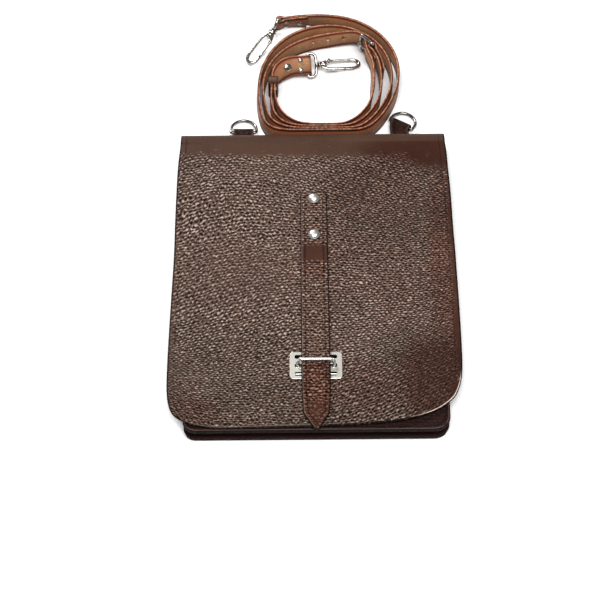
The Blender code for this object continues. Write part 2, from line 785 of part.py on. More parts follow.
def strap_frames(rows):
    """Place, direction, width direction and outward normal at each row of x, y, z, lean."""
    rows = np.asarray(rows, float)
    places = rows[:, :3]
    ahead = np.vstack((places[1:], places[-1:])) - np.vstack((places[:1], places[:-1]))
    frames = []
    for place, direction, lean in zip(places, ahead, np.radians(rows[:, 3])):
        along = unit(direction)
        outward = unit(np.cross((0.0, 0.0, 1.0), along))
        raised = np.array((0.0, 0.0, 1.0)) * math.cos(lean) + outward * math.sin(lean)
        width = unit(raised - along * (raised @ along))
        frames.append((place, along, width, unit(np.cross(width, along))))
    return frames


def turned_round(rows):
    """The same rows from the other end, where an outward lean counts the other way."""
    return np.asarray(rows)[::-1] * (1.0, 1.0, 1.0, -1.0)


def strap_mesh_rows(frames):
    half = STRAP_WIDTH / 2
    return [[place - width * half, place + width * half] for place, _, width, _ in frames]


def fold(frames, side, length=TAIL_LENGTH):
    """Rows that carry a strap round a bar and back along its face, the bar's middle, and the last frame."""
    place, along, width, normal = frames[-1]
    back = normal * side
    bar = place + along * FOLD_LEAD + back * LAYER / 2
    turned = []
    for forward, away in FOLD_NECK:
        turned.append(bar + along * forward - back * away)
    for step in range(7):
        angle = -math.pi / 2 + math.pi * step / 6
        turned.append(bar + along * FOLD_RADIUS * math.cos(angle) + back * FOLD_RADIUS * math.sin(angle))
    for forward, away in reversed(FOLD_NECK):
        turned.append(bar + along * forward + back * away)
    half = STRAP_WIDTH / 2
    rows = [[point - width * half, point + width * half] for point in turned]
    gone = 0.0
    previous = place
    for middle, _, rise, outward in reversed(frames):
        gone += float(np.linalg.norm(middle - previous))
        previous = middle
        if gone > length:
            break
        point = middle + outward * side * LAYER
        rows.append([point - rise * half, point + rise * half])
    return rows, bar, (along, width)


def rivet_through(make, name, strap, place, axis):
    """A small rivet through both layers of a strap, and its hole."""
    axis = unit(axis)
    reach = (LAYER + STRAP) / 2
    head = SMALL_RIVET_HEAD / 2
    shank = SMALL_RIVET_SHANK / 2
    seat = reach + GAP * 1.3
    profile = (
        (0.0, -seat - SMALL_RIVET_RISE),
        (head * 0.7, -seat - SMALL_RIVET_RISE * 0.75),
        (head, -seat),
        (shank, -seat),
        (shank, seat),
        (head, seat),
        (head * 0.7, seat + SMALL_RIVET_RISE * 0.75),
        (0.0, seat + SMALL_RIVET_RISE),
    )
    make.lathe(name, profile, place, axis, "nickel", sides=10)
    start = np.asarray(place) - axis * (reach + HOLE_OVERRUN)
    end = np.asarray(place) + axis * (reach + HOLE_OVERRUN)
    hole = make.rod(f"{name}_hole", start, end, shank + 0.25, sides=12)
    make.cut(strap, hole)


def build_hook(make, name, bar, width, tip):
    """Swivel eye, hook and gate between the strap's fold and the hook's tip."""
    along = unit(np.asarray(tip) - bar)
    width = unit(width - along * (width @ along))
    flat = unit(np.array((0.0, 0.0, 1.0)) - along * along[2])
    across = np.cross(flat, along)

    half = (EYE_WIDTH - EYE_WIRE) / 2
    loop = [
        bar + width * (half - 2.0),
        bar + width * half + along * 2.0,
        bar + width * half + along * (EYE_DEPTH - 3.5),
        bar + width * (half - 3.0) + along * (EYE_DEPTH - 0.6),
        bar + along * EYE_DEPTH,
        bar - width * (half - 3.0) + along * (EYE_DEPTH - 0.6),
        bar - width * half + along * (EYE_DEPTH - 3.5),
        bar - width * half + along * 2.0,
        bar - width * (half - 2.0),
    ]
    eye = make.wire(f"eye_{name}", loop, EYE_WIRE / 2, "nickel", cyclic=True)
    start = EYE_DEPTH + 1.9
    end = start + BARREL_LENGTH
    profile = (
        (0.0, EYE_DEPTH - 0.6),
        (SHANK_RADIUS, EYE_DEPTH - 0.6),
        (SHANK_RADIUS, end + GAP),
        (SHANK_HEAD_RADIUS, end + GAP),
        (SHANK_HEAD_RADIUS * 0.8, end + GAP + 1.4),
        (0.0, end + GAP + 1.6),
    )
    make.join(eye, make.lathe(f"shank_{name}", profile, bar, along, sides=16))

    def at(forward, sideways):
        return bar + along * forward + across * sideways

    bracket = [at(*point) for point in HOOK_PATH]
    hook = make.wire(f"hook_{name}", bracket, HOOK_WIRE / 2, "nickel")
    barrel = (
        (0.0, start),
        (BARREL_RADIUS * 0.85, start),
        (BARREL_RADIUS, start + 1.0),
        (BARREL_RADIUS, end - 1.0),
        (BARREL_RADIUS * 0.85, end),
        (0.0, end),
    )
    make.join(hook, make.lathe(f"barrel_{name}", barrel, bar, along, sides=16))
    arm = make.wire(f"arm_{name}", [at(*point) for point in BRACKET_PATH], GATE_WIRE / 2)
    make.join(hook, arm)
    head_room = SHANK_HEAD_RADIUS + 0.4
    room = (
        (0.0, start - 2.0),
        (BARREL_BORE, start - 2.0),
        (BARREL_BORE, end - 0.4),
        (head_room, end - 0.4),
        (head_room, end + 2.6),
        (0.0, end + 2.6),
    )
    make.cut(hook, make.lathe(f"bore_{name}", room, bar, along, sides=16))
    set_origin(hook, at((start + end) / 2, 0.0))

    gate = make.wire(f"gate_{name}", [at(*point) for point in GATE_PATH], GATE_WIRE / 2, "nickel")
    set_origin(gate, at(*GATE_PATH[0]))


def build_strap(make):
    rows = roll_points(LONG_ROLL, LONG_RUNS)
    frames = strap_frames(rows)
    start = strap_frames(turned_round(rows))
    turned, bar_a, (along, width) = fold(start, 1.0)
    sheet = strap_mesh_rows(frames)
    long_strap = make.grid("strap_long", [*turned[::-1], *sheet], "strap_leather", thickness=STRAP)
    for number, (behind, up) in enumerate(RIVETS_A):
        middle = bar_a - along * behind
        local = nearest_frame(start, middle)
        place = local[0] + local[2] * up + local[3] * LAYER / 2
        rivet_through(make, f"rivet_a_{number}", long_strap, place, local[3])
    build_hook(make, "a", bar_a, width, HOOK_TIP_A)

    for number, angle in enumerate(PUNCHED):
        radius = float(np.interp(-angle, [-row[0] for row in LONG_ROLL], [row[1] for row in LONG_ROLL]))
        lift = float(np.interp(-angle, [-row[0] for row in LONG_ROLL], [row[2] for row in LONG_ROLL]))
        z = STRAP_WIDTH / 2 + lift
        inner = polar(angle, radius - 5.0, z)
        outer = polar(angle, radius + 4.0, z)
        make.cut(long_strap, make.rod(f"punched_{number}", inner, outer, PUNCHED_WIDTH / 2, sides=12))

    rows = roll_points(SHORT_ROLL, ((-400.0, SHORT_RUN_Y),))
    rows = np.vstack((rows, SHORT_END))
    rows = smoothed(rows, 2)
    frames = strap_frames(rows)
    start = strap_frames(turned_round(rows))
    head, heel, (along_heel, width_heel) = fold(start, -1.0)
    foot, bar_b, (along_b, width_b) = fold(frames, 1.0, TAIL_LENGTH + STUD_TAIL)
    sheet = strap_mesh_rows(frames)
    rows = [*head[::-1], *sheet, *foot]
    short_strap = make.grid("strap_short", rows, "strap_leather", thickness=STRAP)
    for number, (behind, up) in enumerate(RIVETS_BUCKLE):
        middle = heel - along_heel * behind
        local = nearest_frame(start, middle)
        place = local[0] + width_heel * up - local[3] * LAYER / 2
        rivet_through(make, f"rivet_buckle_{number}", short_strap, place, local[3])
    for number, (behind, up) in enumerate(RIVETS_B):
        middle = bar_b - along_b * behind
        local = nearest_frame(frames, middle)
        place = local[0] + local[2] * up + local[3] * LAYER / 2
        rivet_through(make, f"rivet_b_{number}", short_strap, place, local[3])
    local = nearest_frame(frames, bar_b - along_b * STUD_BEFORE_EYE)
    place = local[0] - local[3] * (STRAP / 2 + GAP * 1.4)
    radius = STUD_HEAD / 2
    profile = ((0.0, 0.0), (radius, 0.0), (radius * 0.94, 0.9), (radius * 0.6, 1.7), (0.0, 2.0))
    make.lathe("stud", profile, place, -local[3], "nickel", sides=16)
    build_hook(make, "b", bar_b, width_b, HOOK_TIP_B)

    build_buckle(make, heel, width_heel, long_strap, short_strap)
    build_keeper(make)


def nearest_frame(frames, place):
    return min(frames, key=lambda frame: float(np.linalg.norm(frame[0] - place)))


def build_buckle(make, heel, up, long_strap, short_strap):
    heading = math.radians(BUCKLE_HEADING)
    ahead = np.array((math.cos(heading), math.sin(heading), 0.0))
    along = unit(ahead - up * (ahead @ up))
    toe = heel + along * BUCKLE_LENGTH
    front = unit(np.cross(along, up))
    if front @ (polar(0.0, 0.0, heel[2]) - heel) < 0:
        front = -front
    half = (BUCKLE_WIDTH - BUCKLE_WIRE) / 2
    length = BUCKLE_LENGTH / 2
    outline = rounded_box(length, half, BUCKLE_CORNER, (length, 0.0), steps=2)
    loop = [heel + along * forward + up * rise for forward, rise in outline]
    make.wire("buckle_frame", loop, BUCKLE_WIRE / 2, "nickel", cyclic=True)

    clear = BUCKLE_WIRE / 2 + GAP + PRONG_WIRE / 2
    path = []
    for step in range(8):
        angle = math.radians(-150.0 + 240.0 * step / 7)
        path.append(heel - along * clear * math.cos(angle) + front * clear * math.sin(angle))
    path.append(heel + along * 4.0 + front * clear)
    path.append(toe + along * 2.2 + front * clear)
    make.wire("buckle_prong", path, PRONG_WIRE / 2, "nickel")
    room = make.rod(
        "prong_room",
        heel + front * clear - along * 0.4,
        toe + along * 2.0 + front * clear,
        PRONG_WIRE / 2 + GAP,
    )
    make.cut(long_strap, room)
    slot_low = heel - up * (PRONG_WIRE / 2 + GAP)
    slot_high = heel + up * (PRONG_WIRE / 2 + GAP)
    slot = make.rod("prong_slot", slot_low, slot_high, FOLD_INNER + STRAP + 1.4, sides=20)
    make.cut(short_strap, slot)


def build_keeper(make):
    long_rows = roll_points(LONG_ROLL, LONG_RUNS)
    short_rows = smoothed(np.vstack((roll_points(SHORT_ROLL, ((-400.0, SHORT_RUN_Y),)), SHORT_END)), 2)
    guess = polar(KEEPER_ANGLE, 60.0, 12.3)
    tail = nearest_frame(strap_frames(long_rows[-12:]), guess)
    short = nearest_frame(strap_frames(short_rows), guess)
    place = (tail[0] + short[0]) / 2
    along = unit(tail[1] + short[1])
    up = np.array((0.0, 0.0, 1.0))
    outward = unit(np.cross(up, along))
    apart = abs(float((tail[0] - short[0]) @ outward))
    half_out = apart / 2 + STRAP / 2 + GAP + KEEPER_THICK / 2 + KEEPER_SLACK
    half_up = STRAP_WIDTH / 2 + GAP + KEEPER_THICK / 2 + 0.1
    outline = rounded_box(half_out, half_up, KEEPER_CORNER, (0.0, 0.0), steps=3)
    rows = []
    for sideways, rise in outline:
        centre = place + outward * sideways + up * rise
        rows.append([centre - along * KEEPER_WIDTH / 2, centre + along * KEEPER_WIDTH / 2])
    make.grid("keeper", rows, "strap_leather", closed=True, thickness=KEEPER_THICK)


def main():
    clear_scene()
    make = Builder()
    build_case(make)
    build_tongue(make)
    build_fastener(make)
    build_ring(make, "left", RING_LEFT)
    build_ring(make, "right", RING_RIGHT)
    build_strap(make)


main()
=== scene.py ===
"""Looks of the map case: finer leather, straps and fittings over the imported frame, with light and camera.

Lengths in the tables are millimetres, in the frame of the case: X across, +Y towards the spine, +Z up.
"""

import math

import bmesh
import bpy
import numpy as np
from mathutils import Matrix, Vector


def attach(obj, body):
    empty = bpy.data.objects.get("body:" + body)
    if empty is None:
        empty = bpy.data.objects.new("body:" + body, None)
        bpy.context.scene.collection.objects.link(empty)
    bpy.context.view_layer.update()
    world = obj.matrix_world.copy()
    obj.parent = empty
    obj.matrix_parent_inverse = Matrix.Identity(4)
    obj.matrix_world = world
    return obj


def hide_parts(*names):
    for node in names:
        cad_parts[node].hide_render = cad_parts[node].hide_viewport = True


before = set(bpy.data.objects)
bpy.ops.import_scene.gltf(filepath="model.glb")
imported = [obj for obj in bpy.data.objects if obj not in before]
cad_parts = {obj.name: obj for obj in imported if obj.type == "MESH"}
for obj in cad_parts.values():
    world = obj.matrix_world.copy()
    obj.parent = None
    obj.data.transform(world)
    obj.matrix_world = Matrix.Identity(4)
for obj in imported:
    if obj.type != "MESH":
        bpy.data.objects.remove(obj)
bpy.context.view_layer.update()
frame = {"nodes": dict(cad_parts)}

MM = 0.001
GAP = 0.3

LEATHER = 2.2
PANEL = 2.0
GUSSET = 1.4
CASE_DEPTH = 22.0
FLAP_MID = CASE_DEPTH - LEATHER / 2
BACK_MID = LEATHER / 2

SPINE_CENTRE_Y = 148.5
SPINE_REACH = 16.0
SPINE_HALF_HEIGHT = CASE_DEPTH / 2
SPINE_HALF_WIDTH = 129.0
# Points of the case's leather: steps round the spine, rows of the back and of the flap, and columns.
SPINE_STEPS = 30
BACK_ROWS = 45
FLAP_ROWS = 150
CASE_COLUMNS = 121

BODY_HALF_WIDTH = 118.5
BODY_FOOT_Y = -165.5
BODY_TOP_Y = 136.0
BODY_CORNER_LEFT = 11.0
BODY_CORNER_RIGHT = 14.0
CORNER_STEPS = 16
CORNER_MIDDLE = 1 + CORNER_STEPS // 2
# Half width of the back panel between its corners and the spine: y, half width.
BACK_SIDES = ((-100.0, 118.5), (-30.0, 118.5), (40.0, 119.0), (95.0, 121.0), (130.0, 126.0))
SEAM_WIDTH = 6.0
FRONT_UNDER = 15.8
GUSSET_BEND = 2.4
GUSSET_BULGE = 0.35
PANEL_POINTS = 61
GUSSET_POINTS = 260

# Edge of the flap from the spine to the middle of each rounded corner: left x, left y, right x, right y.
FLAP_SIDES = (
    (-129.6, 139.0, 129.9, 139.0), (-130.7, 121.0, 130.3, 121.0), (-131.3, 86.0, 131.3, 86.0),
    (-131.4, 51.0, 131.5, 51.0), (-131.3, 17.0, 132.0, 17.0), (-132.0, -16.0, 132.2, -16.0),
    (-132.8, -49.0, 132.3, -46.0), (-133.5, -81.0, 132.2, -76.0), (-133.8, -108.0, 131.8, -98.0),
    (-133.6, -122.0, 130.9, -111.0), (-132.9, -132.0, 129.2, -120.0), (-131.5, -140.0, 126.6, -127.5),
    (-129.2, -146.6, 123.2, -133.8),
)
# Lower edge of the flap from left to right: x, y.
FLAP_FOOT = (
    (-125.6, -151.6), (-120.5, -155.2), (-113.5, -158.6), (-105.3, -161.1), (-94.0, -163.0), (-80.7, -163.9),
    (-57.0, -163.9), (-28.0, -163.4), (4.0, -162.6), (32.7, -161.6), (55.5, -160.0), (74.0, -157.9),
    (88.5, -154.6), (100.0, -150.6), (109.6, -145.6), (117.8, -139.4),
)

PLATE_Y = -102.5
SLOT_LENGTH = 38.4
SLOT_WIDTH = 4.0
SLOT_PITCH = 8.8

STAPLE_WIRE = 3.0
STAPLE_BASE_UNDER = FRONT_UNDER + PANEL + GAP
STAPLE_BASE_THICK = 1.2
# Half length, half width and corner of the staple's base.
STAPLE_BASE = (22.0, 7.0, 2.0)
# Staple from its base to the middle of its bar: x, offset towards the spine, z.
STAPLE_PATH = (
    (16.5, 0.0, 18.8), (16.5, 0.0, 24.2), (16.4, 1.0, 26.2), (15.9, 2.1, 28.0), (14.6, 2.8, 29.1),
    (12.6, 3.0, 29.5),
)

TONGUE_THICK = 2.2
# Tongue strap from its top end to its tip: y, half width, z of its middle.
TONGUE = (
    (88.0, 9.5, 23.4), (86.8, 11.6, 23.4), (84.6, 12.5, 23.4), (60.0, 12.7, 23.4), (25.0, 12.8, 23.4),
    (-10.0, 12.9, 23.4), (-45.0, 13.0, 23.4), (-70.0, 13.1, 23.4), (-80.0, 13.1, 23.9), (-87.0, 13.1, 24.8),
    (-94.0, 13.1, 24.95), (-102.5, 13.1, 24.95), (-111.0, 13.1, 24.95), (-118.0, 13.1, 24.8),
    (-126.0, 12.9, 23.9), (-136.0, 12.5, 23.4), (-149.0, 11.8, 23.4), (-151.6, 11.3, 23.4),
    (-156.0, 8.7, 23.4), (-160.5, 5.8, 23.4), (-165.0, 2.9, 23.2), (-168.2, 0.8, 23.0),
)

RIVET_Y = (79.8, 38.2)
RIVET_HEAD = 11.0
RIVET_RISE = 3.4
RIVET_SHANK = 3.6
RIVET_HOLE = 4.3
RIVET_CAP = 8.0

RING_WIRE = 3.0
RING_WIDTH = 28.0
RING_SIDE = 4.8
RING_CORNER = 1.2
TAB_THICK = 1.7
TAB_WIDTH = 20.0
TAB_MID = LEATHER + GAP + TAB_THICK + GAP / 2
TAB_ROOT_Y = 128.0
# Where the tab closes up before the bar, the run that takes one more row, and its columns.
TAB_NECK = 4.6
TAB_LONG_RUN = 12.0
TAB_COLUMNS = 19
SLIT_CLEAR = 0.35
# D-rings: x and y of the bar's middle, turn of the bar in plan in degrees.
RING_LEFT = (-68.3, 174.9, 0.0)
RING_RIGHT = (88.0, 183.0, -30.0)

STRAP = 2.2
STRAP_WIDTH = 20.0
LAYER = STRAP + 0.5
ROLL_CENTRE = (17.0, 239.0)
ROLL_STEP = 5.0
# Long strap from the end with hook A inwards: angle, radius, lift of its lower edge, outward lean of its top.
LONG_ROLL = (
    (121.0, 83.4, 5.2, -18.5), (115.0, 80.6, 5.0, -17.0), (109.0, 77.6, 4.4, -13.0), (100.0, 75.2, 3.0, -7.0),
    (90.0, 74.2, 1.2, -1.0), (78.0, 73.8, 0.0, 4.0), (45.0, 72.4, 0.0, 2.0), (15.0, 71.3, 0.0, 0.0),
    (0.0, 70.5, 0.0, 0.0), (-15.0, 70.4, 0.0, 0.0), (-30.0, 71.6, 0.0, 0.0), (-45.0, 75.0, 0.0, 0.0),
    (-60.0, 79.4, 0.0, 0.0), (-67.0, 80.0, 0.0, 0.0), (-112.0, 79.0, 0.0, 0.0), (-120.0, 84.2, 0.0, 0.0),
    (-128.0, 90.5, 0.0, 0.0), (-135.0, 91.2, 0.0, -1.0), (-150.0, 80.4, 0.0, -3.0), (-165.0, 73.3, 0.0, -4.0),
    (-180.0, 68.9, 0.0, -4.0), (-195.0, 65.6, 0.0, -3.0), (-210.0, 63.6, 0.0, 0.0), (-225.0, 62.2, 0.0, 2.0),
    (-240.0, 61.2, 0.0, 4.0), (-255.0, 60.8, 0.0, 5.0), (-270.0, 61.0, 0.0, 5.0), (-285.0, 61.6, 0.0, 5.0),
    (-315.0, 62.5, 0.0, 3.0), (-345.0, 63.0, 0.0, 1.0), (-360.0, 63.5, 0.0, 0.0), (-375.0, 64.7, 0.0, 0.0),
    (-390.0, 66.1, 0.0, 0.0), (-405.0, 69.0, 0.0, 0.0), (-420.0, 73.8, 0.0, 0.0), (-428.0, 76.0, 0.0, 0.0),
    (-472.0, 76.0, 0.0, 0.0), (-480.0, 80.0, 0.0, 0.0), (-488.0, 83.5, 0.0, 0.0), (-495.0, 83.2, 0.0, 0.0),
    (-510.0, 74.0, 0.0, 0.0), (-525.0, 68.8, 0.0, 0.0), (-540.0, 63.6, 0.0, 0.0), (-555.0, 59.3, 0.0, 0.0),
    (-570.0, 55.2, 0.0, 0.0), (-585.0, 51.6, 0.0, 2.0), (-600.0, 49.0, 0.0, 4.0), (-615.0, 48.0, 0.2, 5.0),
    (-630.0, 48.4, 1.0, 5.0), (-645.0, 51.4, 2.8, 2.0), (-655.0, 55.8, 4.0, 0.0), (-662.0, 59.2, 4.0, 0.0),
    (-668.0, 60.1, 4.0, 0.0), (-672.0, 56.6, 4.0, 0.0), (-677.0, 52.0, 4.0, 0.0), (-681.0, 49.6, 4.0, 0.0),
    (-686.0, 47.4, 4.0, 0.0), (-692.0, 46.8, 4.0, 0.0), (-698.0, 46.6, 3.9, 0.0), (-705.0, 46.0, 3.4, 2.0),
    (-720.0, 44.6, 2.4, 6.0), (-735.0, 45.4, 1.4, 8.0), (-750.0, 49.6, 0.6, 6.0), (-765.0, 55.7, 0.0, 3.0),
    (-780.0, 61.7, 0.0, 0.0), (-795.0, 66.3, 0.0, 0.0), (-825.0, 68.0, 0.0, 0.0), (-840.0, 71.0, 0.0, 0.0),
    (-855.0, 68.6, 0.2, 0.0), (-870.0, 62.6, 1.2, 0.0), (-880.0, 57.8, 2.3, 0.0), (-885.0, 56.6, 2.3, 0.0),
)
# Where each lap of the long strap meets the flat run behind the spine: last angle of the lap, y of the run.
LONG_RUNS = ((-270.0, 166.1), (-640.0, 168.6), (-900.0, 173.7))
# Short strap from the buckle to the keeper, with the same columns.
SHORT_ROLL = (
    (27.0, 51.9, 4.0, 0.0), (15.0, 52.4, 4.0, 0.0), (0.0, 52.2, 2.6, 3.0), (-15.0, 54.2, 1.4, 3.0),
    (-30.0, 58.4, 0.6, 2.0), (-45.0, 62.9, 0.0, 0.0), (-60.0, 68.0, 0.0, 0.0), (-75.0, 72.0, 0.0, 0.0),
    (-105.0, 72.0, 0.0, 0.0), (-120.0, 76.5, 0.0, 0.0), (-128.0, 79.0, 0.0, 0.0), (-135.0, 77.6, 0.2, 0.0),
    (-150.0, 67.4, 1.2, 0.0), (-163.0, 59.6, 2.3, 0.0),
)
SHORT_RUNS = ((-400.0, 171.2),)
# Short strap beyond the keeper, twisting face up to hook B: x, y, z of its middle, outward lean.
SHORT_END = (
    (-40.4, 228.4, 12.3, 0.0), (-39.2, 235.5, 12.2, 4.0), (-36.0, 242.2, 12.1, 22.0),
    (-31.0, 247.8, 11.9, 40.0), (-25.0, 252.6, 11.7, 51.0), (-18.2, 255.8, 11.4, 57.0),
    (-11.2, 255.0, 10.7, 60.0),
)
# Punched holes in the long strap: angle.
PUNCHED = (-612.0, -630.0, -648.0)
PUNCHED_WIDTH = 4.2

FOLD_INNER = 2.1
FOLD_RADIUS = FOLD_INNER + STRAP / 2
FOLD_LEAD = 7.0
# Where the strap closes up behind a fold: ahead of the bar's middle, away from it.
FOLD_NECK = ((-4.6, 1.65), (-1.8, 2.5))
TAIL_LENGTH = 27.0
STRAP_SPACING = 1.6

BUCKLE_WIRE = 3.0
BUCKLE_WIDTH = 27.0
BUCKLE_LENGTH = 17.0
BUCKLE_CORNER = 2.6
PRONG_WIRE = 2.0
BUCKLE_HEADING = 132.0

KEEPER_THICK = 1.5
KEEPER_WIDTH = 9.0
KEEPER_ANGLE = -168.5
KEEPER_SLACK = 0.8
KEEPER_CORNER = 1.4
KEEPER_ROUND = 0.4

SMALL_RIVET_HEAD = 5.0
SMALL_RIVET_SHANK = 2.4
SMALL_RIVET_RISE = 1.0
# Rivets of the strap's ends: back from the fold's bar, up the strap.
RIVETS_A = ((9.0, 5.0), (9.0, -5.0), (22.0, 0.0))
RIVETS_B = ((9.5, 5.0), (9.5, -5.0))
RIVETS_BUCKLE = ((11.0, 5.0), (11.0, -5.0))
STUD_HEAD = 8.0
STUD_BEFORE_EYE = 26.0
STUD_TAIL = 8.0

EYE_WIRE = 3.0
EYE_WIDTH = 27.0
EYE_DEPTH = 9.5
HOOK_WIRE = 3.6
HOOK_TIP_A = (-65.0, 264.5, 2.6)
HOOK_TIP_B = (50.3, 263.0, 2.6)
BARREL_RADIUS = 4.2
BARREL_LENGTH = 7.0
BARREL_BORE = 1.9
SHANK_RADIUS = 1.5
SHANK_HEAD_RADIUS = 2.7
# Hook from the barrel round its tip to the nose, in its own plane: along from the eye's bar, across.
HOOK_PATH = (
    (14.6, -2.4), (17.6, -3.9), (21.0, -5.2), (26.0, -5.9), (40.0, -5.9), (46.5, -5.6), (50.4, -4.3),
    (52.8, -2.2), (53.6, 0.4), (52.6, 3.0), (50.2, 4.9), (46.6, 5.6), (42.8, 5.5),
)
GATE_PATH = ((22.8, 4.85), (32.0, 5.2), (42.4, 5.5))
GATE_WIRE = 2.8
BRACKET_PATH = ((14.6, 2.6), (18.4, 4.0), (22.0, 4.8))

# Camera of the photograph: its place in metres, tilt off the vertical and roll in degrees, and its focal
# length in pixels of a frame that is FRAME_PIXELS wide.
CAMERA_PLACE = (-0.0138, -0.8603, 1.3467)
CAMERA_TILT = 32.0
CAMERA_ROLL = -0.5
FOCAL_PIXELS = 1700.0
FRAME_PIXELS = 600.0
SENSOR_WIDTH = 36.0
WORLD_LIGHT = 0.20
FLOOR_REACH = 6000.0
FLOOR_DROP = 0.0004

BLACK = (0.0, 0.0, 0.0)
# Tones of leather whose grain is worn away, as shares of its middle tone in each channel.
PLAIN_SHARES = ((0.48, 0.40, 0.36), (0.82, 0.70, 0.64))
# Waves whose sum is the grain: turns in one centimetre across and up the flap, share.
GRAIN_WAVES = ((0.0, 3.4, 0.26), (2.1, -1.8, 0.14), (-2.1, -1.65, 0.14))
UP = np.array((0.0, 0.0, 1.0))


class Shader:
    """A Principled material whose nodes are added one by one."""

    def __init__(self, name):
        self.material = bpy.data.materials.new(name)
        self.material.use_nodes = True
        self.tree = self.material.node_tree
        self.surface = self.tree.nodes["Principled BSDF"]

    def plug(self, target, value):
        if isinstance(value, bpy.types.NodeSocket):
            self.tree.links.new(value, target)
        else:
            target.default_value = value

    def node(self, kind, settings=(), **inputs):
        node = self.tree.nodes.new(kind)
        for key, value in dict(settings).items():
            setattr(node, key, value)
        for key, value in inputs.items():
            self.plug(node.inputs[key.replace("_", " ")], value)
        return node

    def arranged(self, kind, settings, *values):
        """First output of a node whose inputs are filled in their order."""
        node = self.node(kind, settings)
        for socket, value in zip(node.inputs, values):
            self.plug(socket, value)
        return node.outputs[0]

    def math(self, operation, *values):
        return self.arranged("ShaderNodeMath", {"operation": operation}, *values)

    def vector(self, operation, *values):
        return self.arranged("ShaderNodeVectorMath", {"operation": operation}, *values)

    def add(self, a, b):
        return self.math("ADD", a, b)

    def less(self, a, b):
        return self.math("SUBTRACT", a, b)

    def times(self, a, b):
        return self.math("MULTIPLY", a, b)

    def mix(self, factor, a, b, blend="MIX"):
        node = self.node("ShaderNodeMix", {"data_type": "RGBA", "blend_type": blend})
        for number, value in ((0, factor), (6, a), (7, b)):
            self.plug(node.inputs[number], (*value, 1.0) if isinstance(value, tuple) else value)
        return node.outputs[2]

    def step(self, value, low, high):
        """0 below low, 1 above high, smooth between."""
        return self.arranged("ShaderNodeMapRange", {"interpolation_type": "SMOOTHSTEP"}, value, low, high)

    def near(self, value, middle, reach):
        """1 where value is middle, 0 from reach away."""
        away = self.math("ABSOLUTE", self.less(value, middle))
        return self.less(1.0, self.step(away, 0.02, reach))

    def attribute(self, name):
        return self.node("ShaderNodeAttribute", {"attribute_name": name}).outputs["Fac"]

    def uv(self):
        return self.node("ShaderNodeUVMap", {"uv_map": "leather"}).outputs[0]

    def scaled(self, vector, scale, shift=(0.0, 0.0, 0.0)):
        return self.node("ShaderNodeMapping", Vector=vector, Scale=scale, Location=shift).outputs[0]

    def noise(self, vector, scale, detail, roughness):
        node = self.node("ShaderNodeTexNoise", Vector=vector, Scale=scale, Detail=detail, Roughness=roughness)
        return node.outputs["Fac"]

    def wandering(self, vector, scale, amount):
        """The vector, wandering by up to about amount."""
        noise = self.node("ShaderNodeTexNoise", Vector=vector, Scale=scale, Detail=1.0).outputs["Color"]
        centred = self.vector("SUBTRACT", noise, (0.5, 0.5, 0.5))
        return self.vector("ADD", vector, self.vector("MULTIPLY", centred, (amount, amount, amount)))

    def bump(self, height, distance):
        return self.node("ShaderNodeBump", Height=height, Strength=1.0, Distance=distance).outputs[0]

    def finish(self, colour, roughness, normal=None, **fixed):
        for key, value in (("Base Color", colour), ("Roughness", roughness), ("Normal", normal)):
            if value is not None:
                self.plug(self.surface.inputs[key], value)
        for key, value in fixed.items():
            self.surface.inputs[key.replace("_", " ")].default_value = value
        return self.material


def dimmed(colour, share):
    """A colour times one share, or times a share for each channel."""
    return tuple(np.multiply(colour, share).tolist())


